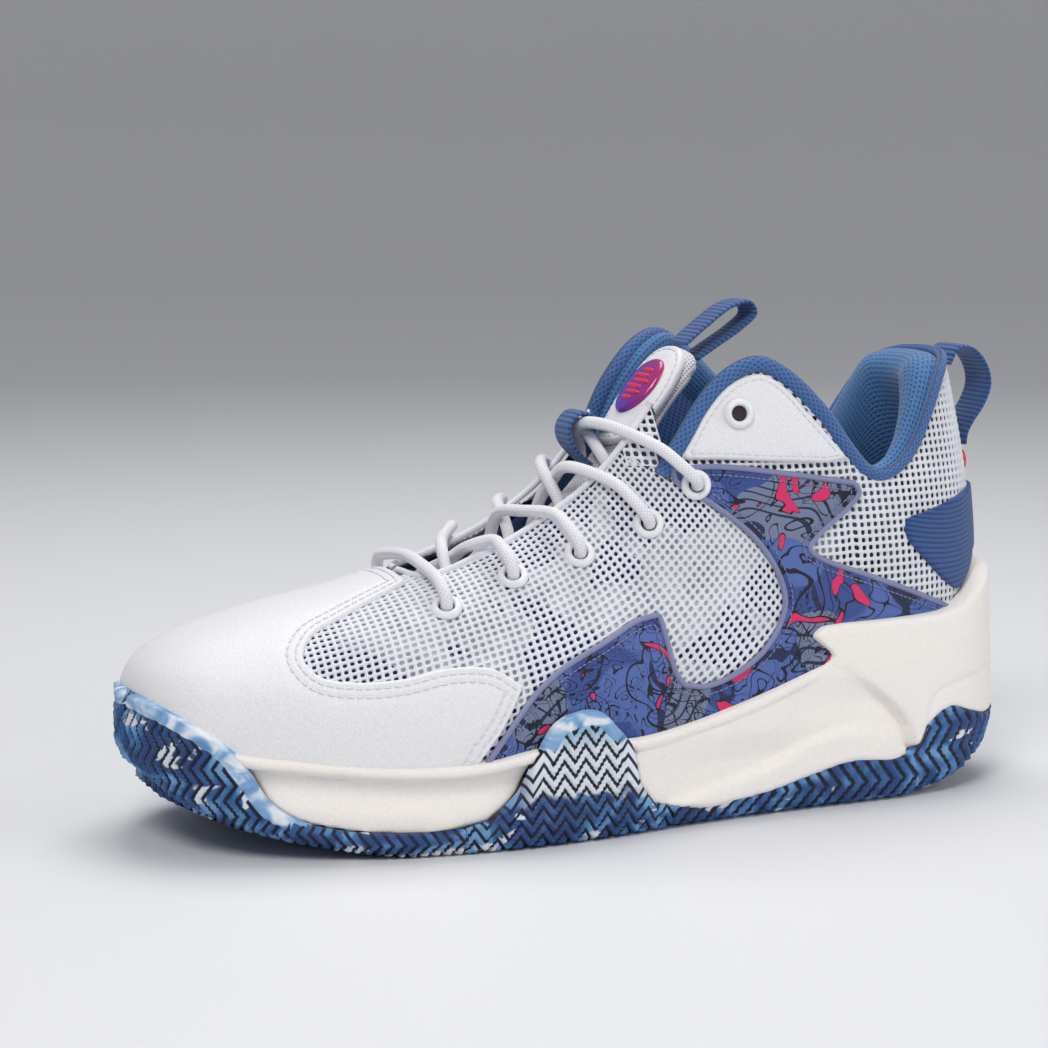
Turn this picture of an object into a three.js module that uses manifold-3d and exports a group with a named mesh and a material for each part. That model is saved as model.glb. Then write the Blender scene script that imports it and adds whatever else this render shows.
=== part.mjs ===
// A left basketball high top, ready to wear: a cemented sole unit, a layered textile and leather upper built
// round a sock shape, a padded collar, a laced tongue and two webbing pull loops. Millimetres, +Z up, the toe
// points along -X and the outer side of the foot faces -Y. The origin is under the middle of the shoe.
import * as THREE from "three";
import { mergeVertices } from "three/addons/utils/BufferGeometryUtils.js";
import Module from "manifold-3d";

const wasm = await Module();
wasm.setup();

// ---------------------------------------------------------------- driving dimensions

// The middle of the shoe's box in drawing coordinates. The finished group is moved back by this much.
const DRAWING_CENTRE = { x: 1.325, y: -2.895 };

// The upper is a bent tube of sections, from the toe tip to above the ankle. Each row is one section:
// top x, top z, bottom x, bottom z, outer half width, inner half width, middle y, height share of the widest
// point, squareness above it and squareness below it.
const SECTIONS = [
  [-147, 38, -147, 38, 0.3, 0.3, 4, 0.4, 2.0, 2.0],
  [-146, 50, -144, 29, 20, 20, 4, 0.42, 2.4, 2.6],
  [-135, 60, -133, 23, 33, 31, 3, 0.38, 2.5, 3.2],
  [-111, 68, -111, 19, 42, 39, 2, 0.33, 2.4, 3.6],
  [-84, 74, -85, 17, 48, 44, 0, 0.3, 2.2, 3.6],
  [-55, 82, -50, 16, 51, 46, -1, 0.27, 2.1, 3.6],
  [-30, 93, -10, 16, 49, 41, -1, 0.25, 2.0, 3.6],
  [-11, 108, 40, 18, 45, 38, 0, 0.26, 2.0, 3.6],
  [3, 124, 92, 21, 41, 37, 0, 0.32, 2.3, 3.2],
  [14, 138, 132, 29, 37, 35, 0, 0.42, 2.8, 2.6],
  [25, 150, 143, 60, 35, 34, 0, 0.5, 3.0, 2.2],
  [36, 161, 142, 95, 33, 33, 0, 0.52, 3.0, 2.2],
  [47, 172, 134, 132, 32, 32, 0, 0.52, 3.0, 2.2],
  [54, 179, 127, 152, 32, 32, 0, 0.52, 3.0, 2.2],
];

// Each layer runs from one distance to another, measured outwards from the outer face of the mesh.
const LAYER = {
  padding: [-11, -2.6],
  lining: [-4.2, -2.6],
  stiffener: [-2.3, -1.2],
  mesh: [-0.9, 0],
  print: [0.3, 1.1],
  leather: [0.3, 1.5],
  badge: [0.3, 1.2],
};
const BOARD_LAYER = [-2.3, 0];
const CLEARANCE = 0.3; // between pieces that touch

// Outlines on the side elevation, as runs of [x, z]. A run of three or more points is a smooth curve.
const COLLAR_BACK = [
  [80, 116.5], [87, 109], [93, 106.5], [100, 108.5], [107, 115], [113, 125], [118, 134], [124, 142],
];
// The inner flap stands further forward than the outer one.
const COLLAR_LINE = {
  lateral: [[17, 109], [25, 121], [34, 134], [42, 141], [50, 143.5], [58, 140], [71, 128], ...COLLAR_BACK],
  medial: [[12, 111], [14, 124], [19, 136], [27, 145.5], [38, 150], [48, 146.5], [66, 131], ...COLLAR_BACK],
};
const VAMP_REAR = [
  [[-62, 92], [-64, 77.5]],
  [[-64, 77.5], [-87, 69.5], [-99, 64.5], [-103, 59.5], [-100, 55], [-90, 53], [-76, 53.5], [-61, 56], [-48, 55],
    [-39, 49.5]],
  [[-39, 49.5], [-46, 38], [-55, 26], [-60, 4]],
];
const PRINT_INNER = [
  [[-57, 4], [-52, 27], [-36, 46], [-25, 53.5], [-10, 60], [2, 65.5], [10, 67]],
  [[10, 67], [11.5, 60], [14, 49], [17, 45]],
  [[17, 45], [25, 44], [36, 47], [46, 53], [52, 60], [55, 68], [53, 77], [46, 88], [33, 99], [21, 107]],
];
const PRINT_OUTER = [
  [[19, 111], [33, 111.5], [58, 108.5], [82, 104.5]],
  [[82, 104.5], [84, 101.5], [80, 97], [68, 88], [65, 84.5], [68, 81.5], [88, 74], [109, 66], [124, 59], [131, 50]],
];
const ANKLE_PATCH = [
  [[28, 117], [33, 125], [39, 133.5], [44, 137], [51, 137.5], [57, 134], [64, 126], [74, 117.5], [79, 113.5]],
  [[79, 113.5], [72, 111.8], [64, 112.4], [49, 113.6], [36, 114.6], [28, 115.5]],
];
const HEEL_PATCH = [
  [[102, 91], [105, 96], [115, 97], [123, 99]],
  [[123, 99], [156, 101]],
  [[156, 101], [156, 62]],
  [[156, 62], [131, 66], [123, 68]],
  [[123, 68], [111, 76], [104, 84], [102, 91]],
];
// The mesh is cut in three: a quarter on each side, and one piece round the heel.
const MESH_SEAM = [[15, 108], [40, 99], [60, 78], [60, 4]];

// The throat slot in plan: x, then half width.
const THROAT = [[-62, 1], [-60, 11], [-55, 15.5], [-38, 15.5], [-19, 16.5], [1, 18.5], [17, 20], [62, 20]];

// The sole's widest line in plan, from the toe tip back along the outer side and forward along the inner side.
const SOLE_LINE = [
  [-151, 3], [-148, -13], [-139, -28], [-122, -40], [-100, -48], [-70, -55], [-40, -57], [-10, -54.5], [20, -49],
  [60, -44.5], [100, -42], [125, -37], [140, -27], [149, -13], [151.5, 1], [149, 15], [140, 28], [125, 36],
  [100, 39], [60, 38], [20, 39], [-10, 42.5], [-40, 47], [-70, 51], [-100, 50], [-122, 44.5], [-139, 32], [-148, 18],
];
// The underside's rocker: x, then height off the floor.
const ROCKER = [
  [-152, 26], [-142, 16.5], [-126, 10], [-108, 5], [-92, 1.8], [-78, 0], [-60, 0], [98, 0], [112, 1.5], [125, 5],
  [138, 11], [152, 24],
];
const MIDSOLE_TOP = [
  [[-160, 42], [-147, 42], [-138, 39.5], [-128, 34], [-108, 31], [-77, 28], [-54, 28], [-38, 30.5], [-20, 32],
    [0, 29.5], [20, 31], [46, 35.5], [75, 43.5]],
  [[75, 43.5], [69, 53]],
  [[69, 53], [70, 57], [76, 59]],
  [[76, 59], [100, 59.5], [118, 60], [128, 62], [136, 67], [143, 72], [160, 74]],
];
// Where the rubber outsole ends on the sidewall. Only the outer side has the forefoot outrigger.
const RUBBER_TOE = [
  [-160, 48], [-147, 47], [-139, 43], [-129, 36], [-122, 27], [-119, 19], [-110, 14], [-97, 10], [-71, 8.5],
];
const RUBBER_OUTRIGGER = [
  [-52, 11], [-43, 18], [-37, 28], [-30, 38], [-22, 41], [-14, 40.5], [-8, 35], [-3, 29], [0, 17], [5, 10],
];
const RUBBER_ARCH = [[-30, 8], [5, 8]];
const RUBBER_HEEL = [
  [25, 9], [47, 14], [61, 18], [79, 20], [97, 16], [104, 18], [111, 29], [123, 31], [141, 33], [160, 30],
];
const OUTSOLE_THICKNESS = 4;
const WRAP_THICKNESS = 2.4;

// Eyelets on the side elevation, from the toe up.
const EYELET_ROWS = [[-57, 72], [-34, 80], [-12, 86], [11, 94.5], [27, 106], [42, 128]];
const LACED_ROWS = 5;
const EYELET = { bore: 2.7, barrel: 3.1, flange: 4.7, hole: 4, depth: 2.6, lift: 0.4, rim: 1.4 };
const LACE_RADIUS = 1.7;

const SIDES = ["lateral", "medial"]; // the outer side of the foot, and the inner side
const SIGN = { lateral: -1, medial: 1 };

// How finely the model is cut.
const AROUND = 18;
const SECTION_STEP = 0.75;
const SOLE_STEPS = 44;

// ---------------------------------------------------------------- curves and surfaces

// A smooth curve through rows of numbers, read at a position counted in rows.
function along(rows, position) {
  const last = rows.length - 1;
  const at = Math.min(Math.max(position, 0), last);
  const i = Math.min(Math.floor(at), last - 1);
  const t = at - i;
  const slope = (k, c) => {
    const span = k > 0 && k < last ? 2 : 1;
    return (rows[Math.min(k + 1, last)][c] - rows[Math.max(k - 1, 0)][c]) / span;
  };
  return rows[i].map((_, c) => {
    const [a, b, ma, mb] = [rows[i][c], rows[i + 1][c], slope(i, c), slope(i + 1, c)];
    return (2 * t ** 3 - 3 * t ** 2 + 1) * a + (t ** 3 - 2 * t ** 2 + t) * ma + (3 * t ** 2 - 2 * t ** 3) * b
      + (t ** 3 - t ** 2) * mb;
  });
}

// The height of a profile of [x, height] at x, in straight lines between its points.
function heightAt(profile, x) {
  const i = Math.max(1, profile.findIndex(([px]) => px >= x));
  const [[x0, z0], [x1, z1]] = [profile[i - 1], profile[i]];
  return z0 + ((z1 - z0) * (x - x0)) / (x1 - x0);
}

// A point of the upper. Angle 0 is the ridge over the foot, -180 the sole by the outer side, 180 by the inner.
function bare(section, angle) {
  const [xt, zt, xb, zb, outer, inner, middle, share, above, below] = along(SECTIONS, section);
  const turn = THREE.MathUtils.degToRad(angle);
  const c = Math.cos(turn);
  const power = 2 / (c >= 0 ? above : below);
  const climb = c >= 0 ? share + (1 - share) * c ** power : share * (1 - (-c) ** power);
  const sine = Math.sin(turn);
  const reach = (sine < 0 ? -outer : inner) * Math.abs(sine) ** power;
  return new THREE.Vector3(xb + (xt - xb) * climb, middle + reach, zb + (zt - zb) * climb);
}

// The outward direction at a point of the upper.
function outward(section, angle) {
  const d = 0.05;
  const forward = bare(section + d, angle).sub(bare(section - d, angle));
  const round = bare(section, angle + 20 * d).sub(bare(section, angle - 20 * d));
  return forward.cross(round).normalize();
}

function upperPoint(section, angle, offset = 0) {
  return bare(section, angle).addScaledVector(outward(section, angle), offset);
}

// The section and the unsigned angle of the upper's point that shows at x, z on the side elevation.
function sideElevation(x, z) {
  const beyond = (section) => {
    const [xt, zt, xb, zb] = along(SECTIONS, section);
    return (xt - xb) * (z - zb) - (zt - zb) * (x - xb);
  };
  let [low, high] = [0.3, SECTIONS.length - 1];
  for (let i = 0; i < 40; i++) {
    const middle = (low + high) / 2;
    if (beyond(middle) < 0) low = middle;
    else high = middle;
  }
  const [xt, zt, xb, zb, , , , share, above, below] = along(SECTIONS, low);
  const reachUp = (x - xb) * (xt - xb) + (z - zb) * (zt - zb);
  const climb = THREE.MathUtils.clamp(reachUp / ((xt - xb) ** 2 + (zt - zb) ** 2), 0, 1);
  const cosine = climb > share
    ? ((climb - share) / (1 - share)) ** (above / 2)
    : -((1 - climb / share) ** (below / 2));
  return [low, THREE.MathUtils.radToDeg(Math.acos(cosine))];
}

// Runs of points joined into one outline, each run smooth in itself.
function joined(runs, perSpan = 1) {
  return runs.flatMap((run) => {
    if (run.length < 3) return run;
    const curve = new THREE.CatmullRomCurve3(run.map(([a, b]) => new THREE.Vector3(a, b, 0)), false, "centripetal");
    return curve.getPoints((run.length - 1) * perSpan).map((p) => [p.x, p.y]);
  });
}

// ---------------------------------------------------------------- solids

function toSolid(geometry) {
  const plain = new THREE.BufferGeometry().setAttribute("position", geometry.getAttribute("position"));
  if (geometry.index) plain.setIndex(geometry.index);
  const merged = mergeVertices(plain, 1e-4);
  return new wasm.Manifold(
    new wasm.Mesh({
      numProp: 3,
      vertProperties: merged.attributes.position.array,
      triVerts: new Uint32Array(merged.index.array),
    }),
  );
}

function toGeometry(solid) {
  const { vertProperties, triVerts } = solid.getMesh();
  return new THREE.BufferGeometry()
    .setAttribute("position", new THREE.BufferAttribute(new Float32Array(vertProperties), 3))
    .setIndex(new THREE.BufferAttribute(new Uint32Array(triVerts), 1));
}

function geometryOf(points, triangles) {
  return new THREE.BufferGeometry()
    .setAttribute("position", new THREE.Float32BufferAttribute(points.flatMap((p) => p.toArray()), 3))
    .setIndex(triangles.flat());
}

// A closed body through rings of the same number of points. ends lists the quads that close each end, by their
// places in the ring.
function ringBody(rings, ends = acrossRing(rings[0].length)) {
  const n = rings[0].length;
  const triangles = [];
  for (let r = 0; r + 1 < rings.length; r++) {
    for (let i = 0; i < n; i++) {
      const [a, b, c, d] = [r * n + i, r * n + ((i + 1) % n), (r + 1) * n + i, (r + 1) * n + ((i + 1) % n)];
      triangles.push([a, b, d], [a, d, c]);
    }
  }
  const first = ends.flatMap(([a, b, c, d]) => [[a, d, c], [a, c, b]]).filter((face) => new Set(face).size === 3);
  const shift = (rings.length - 1) * n;
  triangles.push(...first, ...first.map((face) => face.map((k) => k + shift).reverse()));
  const solid = toSolid(geometryOf(rings.flat(), triangles));
  return solid.volume() > 0 ? solid : toSolid(geometryOf(rings.flat(), triangles.map((t) => [...t].reverse())));
}

// Quads that join the points facing each other on a ring's two sides.
function acrossRing(n) {
  return Array.from({ length: n / 2 }, (_, i) => [i, i + 1, n - i - 1, n - i].map((k) => k % n));
}

// A closed plate: face(u, v, 0) is its inner face and face(u, v, 1) its outer one, for u and v from 0 to 1.
function plate(uSteps, vSteps, face) {
  const rings = Array.from({ length: uSteps + 1 }, (_, i) => {
    const row = (side) => Array.from({ length: vSteps + 1 }, (__, j) => face(i / uSteps, j / vSteps, side));
    return [...row(1), ...row(0).reverse()];
  });
  const n = 2 * vSteps + 2;
  return ringBody(rings, Array.from({ length: vSteps }, (_, j) => [j, j + 1, n - 2 - j, n - 1 - j]));
}

// An outline on the side elevation pushed through the shoe: the outer side, the inner side or both.
const REACH = 90;
function prism(points, side) {
  const shape = new THREE.Shape(points.map(([x, z]) => new THREE.Vector2(x, z)));
  const depth = side === "both" ? 2 * REACH : REACH;
  const geometry = new THREE.ExtrudeGeometry(shape, { depth, bevelEnabled: false }).rotateX(Math.PI / 2);
  if (side !== "lateral") geometry.translate(0, REACH, 0);
  return toSolid(geometry);
}

// An outline in plan pushed up through the shoe, between two heights.
function column(points, from, to) {
  const shape = new THREE.Shape(points.map(([x, y]) => new THREE.Vector2(x, y)));
  return toSolid(new THREE.ExtrudeGeometry(shape, { depth: to - from, bevelEnabled: false }).translate(0, 0, from));
}

// The whole sock as a solid, grown by an offset.
const socks = new Map();
function sock(offset) {
  if (!socks.has(offset)) {
    const nose = bare(0, 0).add(new THREE.Vector3(-offset, 0, 0));
    const angles = Array.from({ length: AROUND }, (_, i) => (i <= AROUND / 2 ? -i : AROUND - i) * (360 / AROUND));
    const rings = [angles.map((a) => nose.clone().add(new THREE.Vector3(
      0, Math.sin(THREE.MathUtils.degToRad(a)) * 0.8, Math.cos(THREE.MathUtils.degToRad(a)) * 0.8)))];
    for (let s = 0.25; s < SECTIONS.length; s += SECTION_STEP) {
      rings.push(angles.map((a) => upperPoint(s, a, offset)));
    }
    socks.set(offset, ringBody(rings));
  }
  return socks.get(offset);
}

function shell([from, to]) {
  return sock(to).subtract(sock(from));
}

// ---------------------------------------------------------------- cutters

const FAR = 200;
const aboveFlap = (side) => prism(
  [...joined([COLLAR_LINE[side]]), [130, 146], [170, 147], [170, FAR], [COLLAR_LINE[side][0][0], FAR]], side);
const aboveCollar = SIDES.map(aboveFlap).reduce((all, one) => all.add(one));
const throatSlot = column(
  [...joined([THROAT]).map(([x, w]) => [x, -w]), ...joined([THROAT]).reverse().map(([x, w]) => [x, w])], 60, FAR);
const opening = aboveCollar.add(throatSlot);

// Everything under the line where the upper turns in under the foot.
const FEATHER = [[-160, 33], [-146, 33], [-136, 27.5], [-111, 22.5], [-84, 20.5], [-50, 19.5], [40, 21.5], [92, 24.5],
  [124, 27], [134, 30.5], [160, 30.5]];
const underFoot = prism([...FEATHER, [160, -20], [-160, -20]], "both");
const raisedFeather = FEATHER.map(([x, z]) => [x, z + CLEARANCE]);
const aboveFoot = prism([...raisedFeather, [160, FAR], [-160, FAR]], "both");

// Where an eyelet sits: its section and angle, its middle on the mesh and its outward direction.
function eyeletFrame(row, side) {
  const [section, turn] = sideElevation(...EYELET_ROWS[row]);
  const angle = SIGN[side] * turn;
  return { section, angle, middle: bare(section, angle), axis: outward(section, angle) };
}

function placedAlong(geometry, { middle, axis }) {
  const turn = new THREE.Quaternion().setFromUnitVectors(new THREE.Vector3(0, 1, 0), axis);
  return geometry.applyQuaternion(turn).translate(middle.x, middle.y, middle.z);
}

const eyeletSites = SIDES.flatMap((side) => EYELET_ROWS.map((_, row) => (
  { side, row, ...eyeletFrame(row, side) })));
const bores = eyeletSites
  .map((site) => toSolid(placedAlong(new THREE.CylinderGeometry(EYELET.hole, EYELET.hole, 26, 6), site)))
  .reduce((all, one) => all.add(one));

// The rolled binding along the collar's edge, from one side of the throat round the heel to the other.
const BINDING_RADIUS = 3;
function tubeAlong(points, radius, sides, steps) {
  const section = new THREE.Shape(
    Array.from({ length: sides }, (_, i) => new THREE.Vector2(
      radius * Math.cos((2 * Math.PI * i) / sides), radius * Math.sin((2 * Math.PI * i) / sides))));
  const path = new THREE.CatmullRomCurve3(points, false, "centripetal");
  return toSolid(new THREE.ExtrudeGeometry(section, { steps, extrudePath: path, bevelEnabled: false }));
}
function collarPoints() {
  const edge = (side) => COLLAR_LINE[side].map(([x, z]) => {
    const [section, angle] = sideElevation(x, z);
    return upperPoint(section, SIGN[side] * angle, -1.5);
  });
  return [...edge("lateral"), upperPoint(12.6, 180, -1.5), ...edge("medial").reverse()];
}
const binding = tubeAlong(collarPoints(), BINDING_RADIUS, 7, 44);
const bindingRoom = tubeAlong(collarPoints(), BINDING_RADIUS + CLEARANCE, 7, 44);

// ---------------------------------------------------------------- sole unit

function soleRing(inset, height) {
  const line = new THREE.CatmullRomCurve3(SOLE_LINE.map(([x, y]) => new THREE.Vector3(x, y, 0)), true, "centripetal");
  return Array.from({ length: SOLE_STEPS }, (_, i) => {
    const point = line.getPoint(i / SOLE_STEPS);
    const tangent = line.getTangent(i / SOLE_STEPS);
    const inward = new THREE.Vector3(-tangent.y, tangent.x, 0);
    point.addScaledVector(inward, inset);
    point.z = height(point.x);
    return point;
  });
}

// The sole's mass as one block, grown inwards by an inset and raised by a lift. Each row of WALL is a ring's inset
// and its height: over the rocker for the first three, and over the floor for the others.
const WALL = [[6, 0], [1.6, 1.4], [0, 7], [1.5, 46], [4.5, 80]];
const ROCKING_RINGS = 3;
function soleBlock(inset, lift) {
  const rocker = (x) => heightAt(ROCKER, THREE.MathUtils.clamp(x, -151.9, 151.9));
  return ringBody(WALL.map(([step, rise], k) => soleRing(
    inset + step, (x) => lift + rise + (k < ROCKING_RINGS ? rocker(x) : 0))));
}

function below(runs, side) {
  const line = joined(runs);
  return prism([...line, [170, line.at(-1)[1]], [170, -20], [-170, -20], [-170, line[0][1]]], side);
}

function outsole() {
  const skin = soleBlock(0, 0).subtract(soleBlock(WRAP_THICKNESS, OUTSOLE_THICKNESS));
  const outer = skin.intersect(below([RUBBER_TOE, RUBBER_OUTRIGGER, RUBBER_HEEL], "lateral"));
  const inner = skin.intersect(below([RUBBER_TOE, RUBBER_ARCH, RUBBER_HEEL], "medial"));
  return outer.add(inner).subtract(sock(CLEARANCE + LAYER.leather[1]));
}

const SHANK = {
  plan: [[-30, -20], [-10, -24], [40, -20], [70, -13], [74, 0], [70, 12], [40, 16], [-10, 18], [-30, 16]],
  from: 4.3,
  to: 5.9,
};
const shankPlate = () => column(joined([SHANK.plan]), SHANK.from, SHANK.to);

function midsole() {
  return soleBlock(WRAP_THICKNESS + CLEARANCE, OUTSOLE_THICKNESS + CLEARANCE)
    .intersect(below(MIDSOLE_TOP, "both"))
    .subtract(sock(LAYER.leather[1] + CLEARANCE))
    .subtract(column(joined([SHANK.plan]), 0, SHANK.to + CLEARANCE));
}

// ---------------------------------------------------------------- upper

const strobelBoard = () => shell(BOARD_LAYER).intersect(underFoot);
const sockliner = () => sock(-4.6).intersect(
  prism([...FEATHER.map(([x, z]) => [x, z + 8]), [160, -20], [-160, -20]], "both"));

const PADDING_FOOT = [[38, 150], [46, 122], [60, 100], [90, 92], [116, 84], [160, 82]];
const paddingRegion = prism([...joined([PADDING_FOOT]), [160, FAR], [38, FAR]], "both");
const belowPadding = PADDING_FOOT.map(([x, z]) => [x - 0.2, z - CLEARANCE]);
const paddingRoom = prism([...joined([belowPadding]), [160, FAR], [37.8, FAR]], "both");

const dressed = (layer) => layer.subtract(opening).subtract(bindingRoom);
const lining = () => dressed(shell(LAYER.lining)).subtract(paddingRoom).subtract(bores);
const collarPadding = () => dressed(shell(LAYER.padding)).intersect(paddingRegion).subtract(bores);
const toePuff = () => shell(LAYER.stiffener)
  .intersect(prism([[-165, 35], [-118, 35], [-108, 82], [-165, 82]], "both"));
const heelCounter = () => shell(LAYER.stiffener)
  .intersect(prism(joined([[[160, 37], [112, 37]], [[112, 37], [96, 52], [100, 72], [114, 82], [160, 84]]]), "both"));

function quarterMesh(side) {
  const region = prism(
    [[-108, 4], [-108, 90], [-62, 90], [14, 120], ...MESH_SEAM.map(([x, z]) => [x - CLEARANCE, z])], side);
  return dressed(shell(LAYER.mesh)).intersect(aboveFoot).intersect(region).subtract(sideGap(side)).subtract(bores);
}
// Keeps the two quarters apart on the ridge, where the vamp covers the seam.
function sideGap(side) {
  const [from, to] = side === "lateral" ? [-CLEARANCE, 5] : [-5, CLEARANCE];
  return column([[-170, from], [-40, from], [-40, to], [-170, to]], 60, 90);
}

function heelMesh() {
  const region = prism([[15, 200], ...MESH_SEAM, [170, 4], [170, 200]], "both");
  return dressed(shell(LAYER.mesh)).intersect(aboveFoot).intersect(region).subtract(bores);
}

function vamp() {
  const region = prism([[-170, 4], [-170, 92], ...joined(VAMP_REAR)], "both");
  return shell(LAYER.leather).intersect(aboveFoot).intersect(region).subtract(throatSlot).subtract(bores);
}

function printPanel(side) {
  const region = prism([...joined(PRINT_INNER), ...joined(PRINT_OUTER), [131, 4]], side);
  return dressed(shell(LAYER.print)).intersect(region).intersect(aboveFoot).subtract(bores);
}

const anklePatch = (side) => shell(LAYER.leather).intersect(prism(joined(ANKLE_PATCH), side))
  .subtract(bindingRoom).subtract(bores);
const heelPatch = () => shell(LAYER.leather).intersect(prism(joined(HEEL_PATCH), "both"));

// The heel badge sits on the mesh, between the heel patch and the foot of the pull loop.
const HEEL_BADGE = { z: 106.4, halfHeight: 4, halfWidth: 9 };
function heelBadge() {
  const { z, halfHeight, halfWidth } = HEEL_BADGE;
  const oval = new THREE.Shape().absellipse(0, 0, halfHeight, halfWidth, 0, 2 * Math.PI);
  const core = new THREE.ExtrudeGeometry(oval, { depth: 40, bevelEnabled: false, curveSegments: 12 });
  return shell(LAYER.badge).intersect(toSolid(core.rotateY(Math.PI / 2).translate(120, 0, z)));
}

// ---------------------------------------------------------------- tongue

const TONGUE = { from: 4.5, hinge: 8.1, to: 10.3, lift: -9.4, thickness: 2.8, padThickness: 6 };
// Half the tongue's width by section: over the hinge it is narrow enough to swing between the flaps.
const TONGUE_HALF_WIDTH = [[4, 21], [6, 23], [8, 23], [8.2, 21.5], [13, 21.5]];
const tongueHalfWidth = (section) => heightAt(TONGUE_HALF_WIDTH, section);
const angleOfWidth = (section, y) => {
  const [, , , , outer, , , , above] = along(SECTIONS, section);
  return THREE.MathUtils.radToDeg(Math.asin(Math.min(1, Math.abs(y) / outer) ** (above / 2))) * Math.sign(y);
};
// A plate that follows the tongue between two sections. Its faces lie at two heights over the tongue's outer face.
// Over 0, roundness turns the outline into an oval or a rounded square.
function tonguePlate([from, to], [inner, outer], width, roundness, [lengthways, across]) {
  return plate(lengthways, across, (u, v, face) => {
    const section = from + (to - from) * u;
    const share = roundness ? (1 - Math.abs(2 * u - 1) ** roundness) ** (1 / roundness) : 1;
    const half = Math.max(width(section) * share, 1.5);
    return upperPoint(section, angleOfWidth(section, half * (2 * v - 1)), TONGUE.lift + (face ? outer : inner));
  });
}
const tongueLower = () => tonguePlate(
  [TONGUE.from, TONGUE.hinge - 0.1], [-TONGUE.thickness, 0], tongueHalfWidth, 0, [8, 6]);
const tonguePad = () => tonguePlate(
  [TONGUE.hinge + 0.1, TONGUE.to], [-TONGUE.padThickness, 0], tongueHalfWidth, 0, [6, 6]);
const tongueBadgePatch = () => tonguePlate([8.3, 10.2], [0.4, 1.5], () => 13, 2.4, [8, 4]);
const tongueBadge = () => tonguePlate([8.75, 9.85], [1.9, 2.7], () => 7.5, 2, [8, 2]);
const throatTab = () => tonguePlate([4.4, 4.95], [0.4, 1.6], () => 12, 0, [2, 4]);

// ---------------------------------------------------------------- webbing loops

// A strip of webbing whose middle line is given as [x, z] and whose width lies across the shoe.
function strip(line, width, thickness, steps) {
  const curve = new THREE.CatmullRomCurve3(line.map(([x, z]) => new THREE.Vector3(x, 0, z)), false, "centripetal");
  return plate(steps, 1, (u, v, face) => {
    const tangent = curve.getTangent(u);
    const normal = new THREE.Vector3(-tangent.z, 0, tangent.x);
    const point = curve.getPoint(u).addScaledVector(normal, (face ? 0.5 : -0.5) * thickness);
    return point.setY(width * (v - 0.5));
  });
}
const LOOP_THICKNESS = 1.3;
const HEEL_LOOP = [
  [135.2, 141.5], [138.5, 146], [144, 145.5], [150, 140.5], [153, 133.5], [150.5, 126], [145, 120.5], [140.8, 116.5],
  [140.2, 112],
];
const heelLoop = () => strip(HEEL_LOOP, 16, LOOP_THICKNESS, 14);
const TONGUE_LOOP = [
  [36.4, 148.6], [44.5, 155], [53, 160.6], [59.5, 161.8], [61.5, 158.2], [56.5, 153.5], [48, 148.2], [40.8, 143.8],
];
const tongueLoop = () => strip(TONGUE_LOOP, 13, LOOP_THICKNESS, 14);
// The keeper arches over the crossing of the last laced rows: sections from the crossing, then height over the ridge.
const KEEPER = [
  [-0.36, -8.7], [-0.36, -4], [-0.3, 2], [-0.16, 5], [0, 5.6], [0.13, 5], [0.23, 2], [0.25, -4], [0.25, -8.7],
];
function laceKeeper() {
  const [under, over] = [LACED_ROWS - 2, LACED_ROWS - 1].map((row) => eyeletFrame(row, "lateral").section);
  const line = KEEPER.map(([step, height]) => upperPoint((under + over) / 2 + step, 0, height));
  return strip(line.map((p) => [p.x, p.z]), 12, 1.2, 14);
}

// ---------------------------------------------------------------- eyelets and lace

function eyelet({ row, side }) {
  const lift = EYELET.lift + (row >= LACED_ROWS - 1 ? LAYER.leather[1] : 0);
  const { bore, barrel, flange, depth, rim } = EYELET;
  const profile = [[bore, -depth], [barrel, -depth], [barrel, lift], [flange, lift], [bore + 0.6, lift + rim],
    [bore, lift + rim - 0.4], [bore, -depth]];
  const lathe = new THREE.LatheGeometry(profile.map(([r, z]) => new THREE.Vector2(r, z)), 10);
  return toSolid(placedAlong(lathe, eyeletFrame(row, side)));
}

// One lace, zig-zagging up the throat. Every pass comes up through the throat, crosses over the far edge and
// goes down through its eyelet, and the ends are tucked in along the lining.
const LACE_UNDER = -7.9;
function intoEyelet(row, side) {
  const { section, angle } = eyeletFrame(row, side);
  const inward = (degrees) => angle - SIGN[side] * degrees;
  const over = row >= LACED_ROWS - 1 ? LAYER.leather[1] : 0;
  return [
    upperPoint(section, inward(14), 4.8 + over),
    upperPoint(section, inward(7.5), 6 + over),
    upperPoint(section, inward(2), 4.9 + over),
    upperPoint(section, angle, 2.2 + over),
    upperPoint(section, angle, -3),
    upperPoint(section, inward(0.8), -6.6),
  ];
}
function crossing(row, side, over) {
  const [from, to] = [eyeletFrame(row, side), eyeletFrame(row + 1, side === "lateral" ? "medial" : "lateral")];
  const sign = Math.sign(from.angle);
  const between = (t) => from.section + (to.section - from.section) * t;
  return [
    upperPoint(between(0.08), sign * (Math.abs(from.angle) - 9), LACE_UNDER),
    upperPoint(between(0.28), sign * 15, -5.8),
    upperPoint(between(0.5), 0, over ? 1.2 : -3.6),
    upperPoint(between(0.72), -sign * 13, 2.2),
  ];
}
function tuckedEnd(side) {
  const { section, angle } = eyeletFrame(LACED_ROWS - 1, side);
  return [6, 12, 20, 30, 40].map((a, k) => upperPoint(section + 0.05 * (k + 1), angle + SIGN[side] * a, LACE_UNDER));
}
function laceEnd(startSide) {
  const points = [];
  let side = startSide;
  for (let row = 0; row + 1 < LACED_ROWS; row++) {
    points.push(...crossing(row, side, startSide === "lateral"));
    side = side === "lateral" ? "medial" : "lateral";
    points.push(...intoEyelet(row + 1, side));
  }
  return [...points, ...tuckedEnd(side)];
}
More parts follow.
